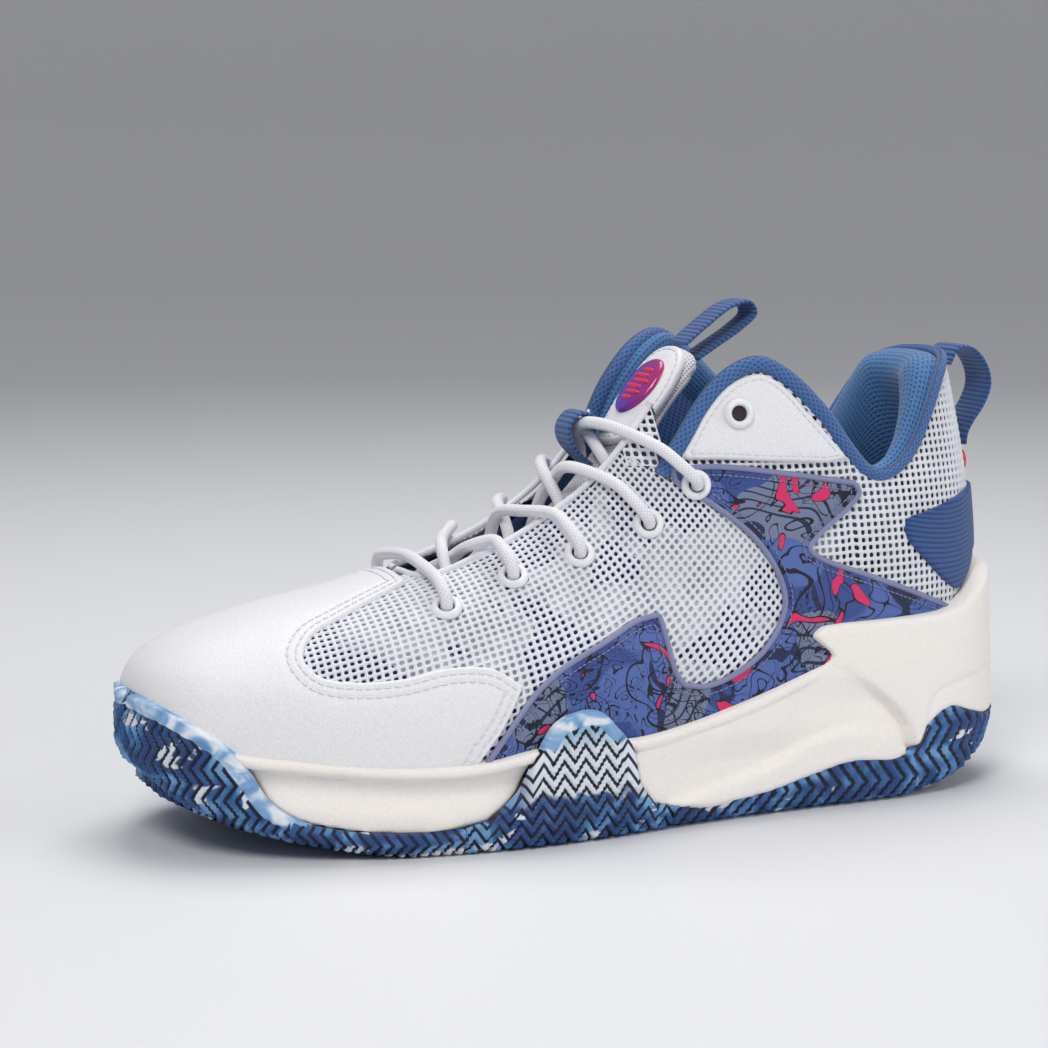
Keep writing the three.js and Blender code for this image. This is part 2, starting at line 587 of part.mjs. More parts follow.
function lacePath() {
  const bar = [upperPoint(eyeletFrame(0, "lateral").section, 0, 3.2)];
  const half = (side) => [...intoEyelet(0, side), ...laceEnd(side)];
  return [...half("lateral").reverse(), ...bar, ...half("medial")];
}
const lace = () => tubeAlong(lacePath(), LACE_RADIUS, 5, 120);

function aglet(side) {
  const { section, angle } = eyeletFrame(LACED_ROWS - 1, side);
  const points = [44, 52, 61, 70].map((a) => upperPoint(section + 0.26, angle + SIGN[side] * a, LACE_UNDER));
  return tubeAlong(points, 1.5, 8, 4);
}

// ---------------------------------------------------------------- assembly

const MATERIALS = {
  rubber: [0x2f5f9e, 0.6],
  foam: [0xf1ebe3, 0.65],
  plastic: [0x3a3f47, 0.45],
  board: [0xd8cfbd, 0.9],
  blueTextile: [0x3f6ba3, 0.9],
  whiteTextile: [0xdfe2ea, 0.9],
  whiteLeather: [0xeceef2, 0.5],
  print: [0x4c63ab, 0.6],
  navy: [0x274f91, 0.55],
  webbing: [0x32619f, 0.85],
  badge: [0xd7264f, 0.3],
  ring: [0xf2f2f2, 0.4],
  grey: [0xcdd0d6, 0.6],
  lace: [0xf0eff4, 0.85],
};
const shoe = new THREE.Group();

function add(name, solid, finish) {
  const [color, roughness] = MATERIALS[finish];
  const material = new THREE.MeshStandardMaterial({ color, roughness, metalness: 0 });
  const mesh = new THREE.Mesh(toGeometry(solid), material);
  mesh.name = name;
  shoe.add(mesh);
}

add("outsole", outsole(), "rubber");
add("shank_plate", shankPlate(), "plastic");
add("midsole", midsole(), "foam");
add("strobel_board", strobelBoard(), "board");
add("sockliner", sockliner(), "blueTextile");
add("lining", lining(), "whiteTextile");
add("collar_padding", collarPadding(), "blueTextile");
add("collar_binding", binding, "blueTextile");
add("toe_puff", toePuff(), "board");
add("heel_counter", heelCounter(), "plastic");
add("heel_mesh", heelMesh(), "whiteTextile");
add("vamp", vamp(), "whiteLeather");
add("heel_patch", heelPatch(), "navy");
add("heel_badge", heelBadge(), "badge");
for (const side of SIDES) {
  add(`quarter_mesh_${side}`, quarterMesh(side), "whiteTextile");
  add(`print_panel_${side}`, printPanel(side), "print");
  add(`ankle_patch_${side}`, anklePatch(side), "whiteLeather");
  add(`lace_aglet_${side}`, aglet(side), "plastic");
}
for (const site of eyeletSites) add(`eyelet_${site.side}_${site.row + 1}`, eyelet(site), "ring");
add("tongue_lower", tongueLower(), "whiteTextile");
add("throat_tab", throatTab(), "grey");
add("lace_keeper", laceKeeper(), "webbing");
add("lace", lace(), "lace");
add("tongue_pad", tonguePad(), "blueTextile");
add("tongue_badge_patch", tongueBadgePatch(), "whiteLeather");
add("tongue_badge", tongueBadge(), "badge");
add("tongue_pull_loop", tongueLoop(), "webbing");
add("heel_pull_loop", heelLoop(), "webbing");
shoe.position.set(-DRAWING_CENTRE.x, -DRAWING_CENTRE.y, 0);

export default shoe;
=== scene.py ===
"""The looks of the basketball high top. Lengths are in millimetres in the drawing's own axes until place()
turns them into the frame's metres. The upper is described by a section number and an angle round the foot,
the sole by a length round its plan and a height."""
import math

import bpy
import numpy as np
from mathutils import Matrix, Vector
from mathutils.geometry import delaunay_2d_cdt


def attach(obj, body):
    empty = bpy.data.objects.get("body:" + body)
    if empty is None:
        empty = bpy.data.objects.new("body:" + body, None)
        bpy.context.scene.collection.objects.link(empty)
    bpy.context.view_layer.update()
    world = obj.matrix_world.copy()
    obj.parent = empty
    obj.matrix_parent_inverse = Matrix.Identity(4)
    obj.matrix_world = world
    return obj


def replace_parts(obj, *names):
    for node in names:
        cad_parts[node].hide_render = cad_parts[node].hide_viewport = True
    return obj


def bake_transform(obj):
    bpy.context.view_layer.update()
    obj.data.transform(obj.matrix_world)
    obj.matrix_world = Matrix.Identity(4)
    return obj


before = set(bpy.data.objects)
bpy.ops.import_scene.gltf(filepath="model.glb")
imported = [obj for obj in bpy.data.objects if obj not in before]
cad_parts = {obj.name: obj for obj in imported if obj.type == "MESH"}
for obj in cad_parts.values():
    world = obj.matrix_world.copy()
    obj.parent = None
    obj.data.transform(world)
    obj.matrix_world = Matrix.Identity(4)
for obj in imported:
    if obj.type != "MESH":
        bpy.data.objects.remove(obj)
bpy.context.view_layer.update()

CENTRE = (1.325, -2.895, 0.0)  # the drawing point that is the frame's origin

# ------------------------------------------------------------------ the shoe's lines

# One row a section, toe tip to ankle: top x, top z, bottom x, bottom z, outer half width, inner half width,
# middle y, height share of the widest point, squareness above it, squareness below it.
SECTIONS = np.array([
    [-147, 38, -147, 38, 0.3, 0.3, 4, 0.4, 2.0, 2.0],
    [-146, 50, -144, 29, 20, 20, 4, 0.42, 2.4, 2.6],
    [-135, 60, -133, 23, 33, 31, 3, 0.38, 2.5, 3.2],
    [-111, 68, -111, 19, 42, 39, 2, 0.33, 2.4, 3.6],
    [-84, 74, -85, 17, 48, 44, 0, 0.3, 2.2, 3.6],
    [-55, 82, -50, 16, 51, 46, -1, 0.27, 2.1, 3.6],
    [-30, 93, -10, 16, 49, 41, -1, 0.25, 2.0, 3.6],
    [-11, 108, 40, 18, 45, 38, 0, 0.26, 2.0, 3.6],
    [3, 124, 92, 21, 41, 37, 0, 0.32, 2.3, 3.2],
    [14, 138, 132, 29, 37, 35, 0, 0.42, 2.8, 2.6],
    [25, 150, 143, 60, 35, 34, 0, 0.5, 3.0, 2.2],
    [36, 161, 142, 95, 33, 33, 0, 0.52, 3.0, 2.2],
    [47, 172, 134, 132, 32, 32, 0, 0.52, 3.0, 2.2],
    [54, 179, 127, 152, 32, 32, 0, 0.52, 3.0, 2.2],
])
COLLAR_BACK = [(80, 116.5), (87, 109), (93, 106.5), (100, 108.5), (107, 115), (113, 125), (118, 134),
               (123, 140.5), (127, 143.5), (130, 144.5)]
COLLAR_LINE = {
    "lateral": [(17, 109), (25, 121), (34, 134), (42, 141), (50, 143.5), (58, 140), (71, 128)] + COLLAR_BACK,
    "medial": [(12, 111), (14, 124), (19, 136), (27, 145.5), (38, 150), (48, 146.5),
               (66, 131)] + COLLAR_BACK,
}
VAMP_REAR = [
    [(-64, 77.5), (-87, 69.5), (-99, 64.5), (-103, 59.5), (-100, 55), (-90, 53), (-76, 53.5), (-61, 56),
     (-48, 55), (-39, 49.5)],
    [(-39, 49.5), (-46, 38), (-55, 26), (-58, 20)],
]
PRINT_INNER = [
    [(-56, 22), (-52, 27), (-36, 46), (-25, 53.5), (-10, 60), (2, 65.5), (10, 67)],
    [(10, 67), (11.5, 60), (14, 49), (17, 45)],
    [(17, 45), (25, 44), (36, 47), (46, 53), (52, 60), (55, 68), (53, 77), (46, 88), (33, 99), (21, 107)],
]
PRINT_OUTER = [
    [(19, 110.5), (33, 111.5), (58, 108.5), (82, 104.5)],
    [(82, 104.5), (84, 101.5), (80, 97), (68, 88), (65, 84.5), (68, 81.5), (88, 74), (109, 66), (124, 59),
     (131, 50)],
]
PRINT_FOOT = [(125, 34), (92, 28), (40, 24), (-10, 21.5), (-50, 21)]
ANKLE_PATCH = [
    [(23.5, 115), (27, 120.5), (32, 128.5), (38, 135.5), (44, 139.2), (50.5, 140.3), (57, 136.8),
     (66, 127.5), (75, 118), (80, 112.5)],
    [(80, 112.5), (72, 111.5), (64, 112), (49, 112.8), (36, 113.6), (25, 113.8)],
]
HEEL_PATCH_TOP = [(102, 88), (103.5, 91.5), (112, 93.5), (122, 95.8), (131, 98), (137, 99)]
HEEL_PATCH_FOOT = [(137, 75), (133, 69.5), (128, 66), (122, 68.5), (112, 76.5), (104, 84)]
THROAT = [(-62, 1), (-60, 11), (-55, 15.5), (-38, 15.5), (-19, 16.5), (1, 18.5), (17, 20)]

SOLE_LINE = [
    (-151, 3), (-148, -13), (-139, -28), (-122, -40), (-100, -48), (-70, -55), (-40, -57), (-10, -54.5),
    (20, -49), (60, -44.5), (100, -42), (125, -37), (140, -27), (149, -13), (151.5, 1), (149, 15), (140, 28),
    (125, 36), (100, 39), (60, 38), (20, 39), (-10, 42.5), (-40, 47), (-70, 51), (-100, 50), (-122, 44.5),
    (-139, 32), (-148, 18),
]
ROCKER = [(-152, 26), (-142, 16.5), (-126, 10), (-108, 5), (-92, 1.8), (-78, 0), (-60, 0), (98, 0),
          (112, 1.5), (125, 5), (138, 11), (152, 24)]
MIDSOLE_TOP = [
    [(-151, 42), (-147, 42), (-138, 39.5), (-128, 34), (-108, 31), (-77, 28), (-54, 28), (-38, 30.5),
     (-20, 32), (0, 31), (20, 34), (46, 40.5), (69, 48)],
    [(69, 48), (71.5, 49.8), (68, 53), (64.5, 56.5), (67.5, 59.6), (76, 60.5)],
    [(76, 60.5), (100, 60.5), (118, 61), (128, 63), (138, 67.5), (146, 72), (151.4, 73.5)],
]
RUBBER_TOE = [(-151, 48), (-147, 47), (-139, 43), (-129, 36), (-122, 27), (-117, 19), (-108, 13), (-95, 9.5),
              (-71, 8)]
RUBBER_OUTRIGGER = [(-52, 11), (-43, 18), (-37, 28), (-30, 38), (-22, 41), (-14, 40.5), (-8, 35), (-3, 29),
                    (0, 17), (5, 10)]
RUBBER_HEEL = [(25, 7), (47, 9.5), (61, 12.5), (79, 16), (97, 14.5), (104, 17), (111, 26), (119, 29.5),
               (128, 27), (138, 24.5), (151.4, 26)]

EYELET_ROWS = [(-57, 72), (-34, 80), (-12, 86), (11, 94.5), (27, 106), (42, 128)]
LACED_ROWS = 5
SIDES = {"lateral": -1, "medial": 1}

# ------------------------------------------------------------------ curves and surfaces


def place(points):
    """Drawing millimetres to frame metres."""
    return (np.asarray(points, float) - CENTRE) * 0.001


def unit(v):
    """Vectors at a length of 1."""
    return v / np.maximum(np.linalg.norm(v, axis=-1, keepdims=True), 1e-9)


def along(rows, at):
    """Rows of numbers read at a position counted in rows, on a smooth curve."""
    last = len(rows) - 1
    at = np.clip(np.asarray(at, float), 0, last)
    i = np.minimum(at.astype(int), last - 1)
    t = (at - i)[..., None]
    slope = np.empty_like(rows)
    slope[1:-1] = (rows[2:] - rows[:-2]) / 2
    slope[0], slope[-1] = rows[1] - rows[0], rows[-1] - rows[-2]
    return ((2 * t ** 3 - 3 * t ** 2 + 1) * rows[i] + (t ** 3 - 2 * t ** 2 + t) * slope[i]
            + (3 * t ** 2 - 2 * t ** 3) * rows[i + 1] + (t ** 3 - t ** 2) * slope[i + 1])


def smooth(points, spans=12):
    """A centripetal Catmull-Rom curve through the points."""
    p = np.asarray(points, float)
    if len(p) < 3:
        return p
    p = np.vstack([2 * p[0] - p[1], p, 2 * p[-1] - p[-2]])
    out = []
    for k in range(1, len(p) - 2):
        a, b, c, d = p[k - 1:k + 3]
        t0, t1, t2 = (np.linalg.norm(y - x) ** 0.5 for x, y in ((a, b), (b, c), (c, d)))
        u = np.linspace(0, 1, spans, endpoint=False)[:, None]
        m1 = t1 * ((b - a) / t0 - (c - a) / (t0 + t1) + (c - b) / t1)
        m2 = t1 * ((c - b) / t1 - (d - b) / (t1 + t2) + (d - c) / t2)
        out.append((2 * u ** 3 - 3 * u ** 2 + 1) * b + (u ** 3 - 2 * u ** 2 + u) * m1
                   + (3 * u ** 2 - 2 * u ** 3) * c + (u ** 3 - u ** 2) * m2)
    return np.vstack(out + [p[-2:-1]])


def joined(runs):
    """Smooth runs end to end, with a corner where two meet."""
    pieces = [smooth(run) for run in runs]
    return np.vstack([pieces[0]] + [piece[1:] for piece in pieces[1:]])


def walked(points):
    """The length along a polyline to each of its points. Rows of points are each a line of their own."""
    steps = np.linalg.norm(np.diff(points, axis=-2), axis=-1)
    return np.concatenate([np.zeros(steps.shape[:-1] + (1,)), np.cumsum(steps, axis=-1)], -1)


def read_along(line, at):
    """The points of a polyline at the given lengths."""
    step = walked(line)
    return np.stack([np.interp(at, step, column) for column in line.T], 1)


def evenly(points, gap, closed=False):
    """The polyline walked in equal steps of about the gap."""
    p = np.asarray(points, float)
    if closed:
        p = np.vstack([p, p[:1]])
    whole = walked(p)[-1]
    out = read_along(p, np.linspace(0, whole, max(2, int(round(whole / gap)) + 1)))
    return out[:-1] if closed else out


def rounded(value, power):
    """A power that keeps the sign, for outlines between an oval and a rectangle."""
    return np.sign(value) * np.abs(value) ** power


def halved(low, high, short):
    """Where short stops being true between low and high."""
    for _ in range(40):
        middle = (low + high) / 2
        below = short(middle)
        low, high = np.where(below, middle, low), np.where(below, high, middle)
    return low


def bare(section, angle):
    """The upper's skin. Angle 0 is the ridge over the foot, 180 the sole, and the outer side is negative."""
    q = along(SECTIONS, section)
    xt, zt, xb, zb, outer, inner, middle, share, above, under = np.moveaxis(q, -1, 0)
    turn = np.radians(angle)
    c, s = np.cos(turn), np.sin(turn)
    power = np.where(c >= 0, 2 / above, 2 / under)
    climb = np.where(c >= 0, share + (1 - share) * np.abs(c) ** power, share * (1 - np.abs(c) ** power))
    reach = np.where(s < 0, -outer, inner) * np.abs(s) ** power
    return np.stack([xb + (xt - xb) * climb, middle + reach, zb + (zt - zb) * climb], -1)


def upper(section, angle, offset=0.0):
    """Points at a height over the upper's skin."""
    section, angle = np.broadcast_arrays(np.asarray(section, float), np.asarray(angle, float))
    return bare(section, angle) + outward(section, angle) * np.asarray(offset, float)[..., None]


def outward(section, angle):
    """The upper's normals."""
    d = 0.05
    forward = bare(section + d, angle) - bare(section - d, angle)
    around = bare(section, angle + 20 * d) - bare(section, angle - 20 * d)
    return unit(np.cross(forward, around))


def side_elevation(x, z):
    """The section and unsigned angle of the upper's point that shows at x, z on the side elevation."""
    x, z = np.broadcast_arrays(np.asarray(x, float), np.asarray(z, float))

    def short(section):
        xt, zt, xb, zb = np.moveaxis(along(SECTIONS, section)[..., :4], -1, 0)
        return (xt - xb) * (z - zb) - (zt - zb) * (x - xb) < 0

    section = halved(np.full(x.shape, 0.3), np.full(x.shape, len(SECTIONS) - 1.0), short)
    xt, zt, xb, zb, _, _, _, share, above, under = np.moveaxis(along(SECTIONS, section), -1, 0)
    climb = ((x - xb) * (xt - xb) + (z - zb) * (zt - zb)) / ((xt - xb) ** 2 + (zt - zb) ** 2)
    climb = np.clip(climb, 0, 1)
    top = np.clip((climb - share) / (1 - share), 0, 1) ** (above / 2)
    foot = -(np.clip(1 - climb / share, 0, 1) ** (under / 2))
    return section, np.degrees(np.arccos(np.where(climb > share, top, foot)))


def on_side(points, side, wrap=False):
    """Side-elevation points as sections and signed angles. Under wrap the inner side runs on past -180."""
    p = np.asarray(points, float)
    section, angle = side_elevation(p[:, 0], p[:, 1])
    if side == "lateral":
        return np.stack([section, -angle], 1)
    return np.stack([section, angle - 360 if wrap else angle], 1)


def angle_of_width(section, y):
    """The angle at which a section of the upper's top is y wide, from the outer half's shape."""
    q = along(SECTIONS, section)
    share = np.clip(np.abs(y) / q[..., 4], 0, 1) ** (q[..., 8] / 2)
    return np.degrees(np.arcsin(share)) * np.sign(y)


def throat_edge(side):
    """The edge of the throat slot on the upper, from the toe end up."""
    line = evenly(smooth(THROAT), 1.5)
    x, y = line.T

    def short(section):
        return bare(section, angle_of_width(section, y))[:, 0] < x

    section = halved(np.full(len(line), 3.0), np.full(len(line), 12.0), short)
    return np.stack([section, SIDES[side] * angle_of_width(section, y)], 1)


SHARED = 3  # corners run past at each end, so that the closed line is smooth where it meets
SPANS = 12
SOLE_RUN = smooth(SOLE_LINE[-SHARED:] + SOLE_LINE + SOLE_LINE[:SHARED], SPANS)
SOLE_LOOP = evenly(SOLE_RUN[SHARED * SPANS:-SHARED * SPANS], 1.0)
SOLE_STEP = walked(SOLE_LOOP)
ROUND = SOLE_STEP[-1]
HEEL_AT = SOLE_STEP[np.argmax(SOLE_LOOP[:, 0])]
WALL = [(0, 6), (1.4, 1.6), (7, 0), (24, 0.6), (46, 1.5), (80, 4.5)]


def sole(length, height):
    """The sole's wall, by length round the plan from the toe tip by the outer side, and height."""
    length, height = np.broadcast_arrays(np.asarray(length, float), np.asarray(height, float))

    def plan(at):
        at = np.mod(at, ROUND)
        return np.stack([np.interp(at, SOLE_STEP, SOLE_LOOP[:, k]) for k in (0, 1)], -1)

    p = plan(length)
    tangent = unit(plan(length + 2) - plan(length - 2))
    rise = height - np.interp(p[..., 0], *zip(*ROCKER))
    inset = np.interp(rise, *zip(*WALL))
    return np.stack([p[..., 0] - tangent[..., 1] * inset, p[..., 1] + tangent[..., 0] * inset, height], -1)


def underside(length):
    """The height of the sole's underside below points of its wall."""
    return np.interp(sole(length, 5)[:, 0], *zip(*ROCKER))


def sole_at(points, side):
    """Points of the side elevation as lengths round the sole and heights."""
    p = np.asarray(points, float)
    turn = int(np.argmax(SOLE_LOOP[:, 0]))
    if side == "lateral":
        length = np.interp(p[:, 0], SOLE_LOOP[:turn + 1, 0], SOLE_STEP[:turn + 1])
    else:
        length = np.interp(p[:, 0], SOLE_LOOP[turn:, 0][::-1], SOLE_STEP[turn:][::-1]) - ROUND
    return np.stack([length, p[:, 1]], 1)


# ------------------------------------------------------------------ mesh tools

PIECES = []


def piece(name, points, faces, material, slot, body="shoe", uv=None, merge=False, flat=False):
    """A mesh object from drawing millimetres. uv is one pair a point, in centimetres."""
    points = np.asarray(points, float)
    if merge:
        _, first, back = np.unique(np.round(points, 3), axis=0, return_index=True, return_inverse=True)
        back = back.reshape(-1)
        points, faces = points[first], [tuple(back[list(f)]) for f in faces]
        uv = None if uv is None else np.asarray(uv)[first]
    mesh = bpy.data.meshes.new(name)
    mesh.from_pydata(place(points).tolist(), [], [tuple(int(i) for i in f) for f in faces])
    mesh.update()
    if uv is not None:
        layer = mesh.uv_layers.new(name="UVMap")
        corner = np.zeros(len(mesh.loops), np.int32)
        mesh.loops.foreach_get("vertex_index", corner)
        layer.data.foreach_set("uv", np.asarray(uv, np.float32)[corner].ravel())
    mesh.polygons.foreach_set("use_smooth", np.full(len(mesh.polygons), not flat))
    mesh.materials.append(material)
    made = bpy.data.objects.new(name, mesh)
    bpy.context.scene.collection.objects.link(made)
    if body:
        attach(made, body)
    PIECES.append(made)
    return made


def grid_faces(rows, columns, wrap_columns=False):
    """The quads of a lattice of points."""
    i, j = np.meshgrid(np.arange(rows - 1), np.arange(columns if wrap_columns else columns - 1),
                       indexing="ij")
    k = (j + 1) % columns
    quads = np.stack([i * columns + j, i * columns + k, (i + 1) * columns + k, (i + 1) * columns + j], -1)
    return quads.reshape(-1, 4)


def capped(rows, columns, flipped=False):
    """The faces of a closed sleeve: rows of points round it, and a cap on each end."""
    quads = grid_faces(rows, columns, True)
    quads = quads[:, ::-1] if flipped else quads
    last = (rows - 1) * columns
    return [tuple(f) for f in quads] + [tuple(range(columns))[::-1], tuple(range(last, last + columns))]


def inside(points, polygon):
    """Which points lie within a polygon."""
    x, y = points[:, 0][:, None], points[:, 1][:, None]
    x0, y0 = polygon[:, 0][None], polygon[:, 1][None]
    x1, y1 = np.roll(x0, -1), np.roll(y0, -1)
    with np.errstate(divide="ignore", invalid="ignore"):
        crosses = ((y0 > y) != (y1 > y)) & (x < (x1 - x0) * (y - y0) / (y1 - y0) + x0)
    return crosses.sum(1) % 2 == 1


def nearest(points, line):
    """Each point's distance to the nearest point of a line, worked out a batch at a time."""
    out = np.empty(len(points))
    for k in range(0, len(points), 4000):
        gaps = points[k:k + 4000, None] - line[None]
        out[k:k + 4000] = np.sqrt((gaps ** 2).sum(-1).min(1))
    return out


def step_over(surface, at, target):
    """Moves points of the surface's parameters so that the surface comes nearest the target."""
    at = at.copy()
    for _ in range(3):
        here = surface(at[:, 0], at[:, 1])
        dp = (surface(at[:, 0] + 0.02, at[:, 1]) - here) / 0.02
        dq = (surface(at[:, 0], at[:, 1] + 0.02) - here) / 0.02
        gap = target - here
        pp, pq, qq = (dp * dp).sum(1), (dp * dq).sum(1), (dq * dq).sum(1)
        gp, gq = (dp * gap).sum(1), (dq * gap).sum(1)
        det = np.maximum(pp * qq - pq * pq, 1e-9)
        at += np.stack([(gp * qq - gq * pq) / det, (gq * pp - gp * pq) / det], 1)
    return at


def facing(surface, at):
    """The surface's normals."""
    dp = surface(at[:, 0] + 0.02, at[:, 1]) - surface(at[:, 0] - 0.02, at[:, 1])
    dq = surface(at[:, 0], at[:, 1] + 0.02) - surface(at[:, 0], at[:, 1] - 0.02)
    return unit(np.cross(dp, dq))


def inset_loop(surface, loop, distance):
    """The loop moved inwards over the surface by a distance."""
    here = surface(loop[:, 0], loop[:, 1])
    tangent = unit(np.roll(here, -1, 0) - np.roll(here, 1, 0))
    x, y = loop[:, 0], loop[:, 1]
    area = (x * np.roll(y, -1) - y * np.roll(x, -1)).sum()
    inward = np.cross(facing(surface, loop), tangent) * np.sign(area)
    return step_over(surface, loop, here + inward * distance)


def panel(name, surface, scale, loop, heights, material, slot, rounding=0.9, gap=2.0, free=None, relief=None,
          rings=(), cloud=None):
    """A sheet cut to a loop of surface parameters, with rolled edges.

    heights are those of the edge and of the face, and free marks the loop's real edges. relief(parameters,
    points, edge distance) adds height. rings are more distances from the edge to mesh at, and cloud is the
    inner points."""
    here = surface(loop[:, 0], loop[:, 1])
    free = np.ones(len(loop), bool) if free is None else free
    edge = here[free]
    inner = [rounding * share for share in (0.1, 0.35, 0.7, 1.0)] if heights[0] != heights[1] else []
    wanted = sorted(inner + list(rings))
    points, known = [loop], [np.where(free, 0.0, -1.0)]
    for distance in wanted:
        ring = inset_loop(surface, loop, distance)
        far = nearest(surface(ring[:, 0], ring[:, 1]), edge)
        keep = free & (far > distance * 0.93 - 0.02) & inside(ring * scale, loop * scale)
        points.append(ring[keep])
        known.append(np.full(keep.sum(), distance))
    low, high = loop.min(0), loop.max(0)
    reach = max(wanted, default=0) + gap * 0.6
    if cloud is None:
        p = np.arange(low[0], high[0], gap / scale[0])
        q = np.arange(low[1], high[1], gap / scale[1])
        pp, qq = np.meshgrid(p, q, indexing="ij")
        pp = pp + (np.arange(len(q)) % 2)[None] * gap / scale[0] / 2
        cloud = np.stack([pp.ravel(), qq.ravel()], 1)
    cloud = cloud[inside(cloud * scale, loop * scale)]
    far = nearest(surface(cloud[:, 0], cloud[:, 1]), here)
    limit = np.where(nearest(surface(cloud[:, 0], cloud[:, 1]), edge) < far + 1e-6, reach, gap * 0.5)
    points.append(cloud[far > limit])
    known.append(np.full((far > limit).sum(), -1.0))
    points, known = np.vstack(points), np.concatenate(known)
    n = len(loop)
    flat = [Vector(v) for v in (points * scale).tolist()]
    made = delaunay_2d_cdt(flat, [(k, (k + 1) % n) for k in range(n)], [], 1, 1e-5)
    source = np.array([o[0] if o else 0 for o in made[3]])
    at = np.array([v[:] for v in made[0]]) / scale
    at = np.where((np.array([len(o) for o in made[3]]) > 0)[:, None], points[source], at)
    here = surface(at[:, 0], at[:, 1])
    far = np.where(known[source] >= 0, known[source], nearest(here, edge))
    curve = np.sqrt(1 - (1 - np.clip(far / rounding, 0, 1)) ** 2)
    lift = heights[0] + (heights[1] - heights[0]) * curve
    if relief:
        lift = lift + relief(at, here, far) * curve
    solid = here + facing(surface, at) * lift[:, None]
    return piece(name, solid, made[2], material, slot, uv=at * scale / 10)


def tube(name, line, radius, material, slot, sides=14):
    """A round tube along a line."""
    n = len(line)
    tangent = unit(np.gradient(line, axis=0))
    side = np.empty_like(line)
    side[0] = unit(np.cross(tangent[0], [0.3, 1, 0.2]))
    for k in range(1, n):
        side[k] = unit(side[k - 1] - tangent[k] * (side[k - 1] @ tangent[k]))
    lift = np.cross(side, tangent)
    turn = np.linspace(0, 2 * math.pi, sides, endpoint=False)[None, :, None]
    rim = side[:, None] * np.cos(turn) + lift[:, None] * np.sin(turn)
    points = line[:, None] + rim * np.broadcast_to(radius, (n,))[:, None, None]
    uv = np.stack([np.repeat(walked(line) / 10, sides), np.tile(np.arange(sides) / sides, n)], 1)
    return piece(name, points.reshape(-1, 3), capped(n, sides, True), material, slot, uv=uv)


def stitches(name, rows, material, slot, pitch=2.6, length=1.9, radius=0.28, body="shoe"):
    """Rows of (points, normals): a short thread every pitch."""
    profile = [(-0.5, 0.35), (-0.38, 0.9), (0, 1.0), (0.38, 0.9), (0.5, 0.35)]
    sides = 6
    last = (len(profile) - 1) * sides
    points, faces = [], []
    for line, normals in rows:
        step = walked(line)
        at = np.arange(pitch / 2, step[-1], pitch)
        centre, ahead = read_along(line, at), read_along(line, at + 0.2)
        lift = unit(np.stack([np.interp(at, step, column) for column in normals.T], 1))
        forward = unit(ahead - centre + 1e-9)
        side = unit(np.cross(lift, forward))
        for c, f, u, s in zip(centre, forward, lift, side):
            base = len(points)
            for share, thick in profile:
                for k in range(sides):
                    a = k * 2 * math.pi / sides
                    rim = (s * math.cos(a) + u * math.sin(a)) * radius * thick
                    points.append(c + f * share * length + rim + u * radius * 0.5)
            faces += [tuple(base + q) for q in grid_faces(len(profile), sides, True)]
            faces += [tuple(base + k for k in range(sides))[::-1],
                      tuple(base + last + k for k in range(sides))]
    return piece(name, points, [f[::-1] for f in faces], material, slot, body=body)


def net(name, corners, normals, keep, hole, material, slot):
    """A knotted net: one rounded hole in each kept cell of a lattice of points."""
    thick, crown, lip = 0.6, 0.22, 0.14
    keep_i, keep_j = np.nonzero(keep)
    cell = [(0, 0), (1, 0), (1, 1), (0, 1)]
    c = np.stack([corners[keep_i + a, keep_j + b] for a, b in cell], 1)
    n = np.stack([normals[keep_i + a, keep_j + b] for a, b in cell], 1)
    uv8 = np.array([(0, 0), (0.5, 0), (1, 0), (1, 0.5), (1, 1), (0.5, 1), (0, 1), (0, 0.5)], float)
    turn = np.radians(np.arange(8) * 45 - 135)
    shape = np.stack([np.cos(turn), np.sin(turn)], 1)
    shape /= (np.abs(shape) ** 3).sum(1, keepdims=True) ** (1 / 3)
    ring = 0.5 + shape * hole / 2
    low_ring = 0.5 + shape * hole / 2 * 0.86

    def spread(uv, source):
        u, v = uv[:, 0], uv[:, 1]
        weight = np.stack([(1 - u) * (1 - v), u * (1 - v), u * v, (1 - u) * v], 0)
        return np.einsum("ckd,kw->cwd", source, weight)

    outer = spread(uv8, c) + spread(uv8, n) * np.where(np.arange(8) % 2 == 0, crown, -0.02)[None, :, None]
    middle = spread((uv8 + ring) / 2, c) + spread((uv8 + ring) / 2, n) * 0.02
    rim = spread(ring, c) - spread(ring, n) * lip
    wall = spread(low_ring, c) - spread(low_ring, n) * thick
    points = np.concatenate([outer, middle, rim, wall], 1)
    count = len(points)
    quads = []
    for level in range(3):
        for k in range(8):
            m = (k + 1) % 8
            quads.append([level * 8 + k, level * 8 + m, level * 8 + 8 + m, level * 8 + 8 + k])
    faces = (np.arange(count)[:, None, None] * 32 + np.array(quads)[None]).reshape(-1, 4)
    return piece(name, points.reshape(-1, 3), faces, material, slot, merge=True)


# ------------------------------------------------------------------ materials


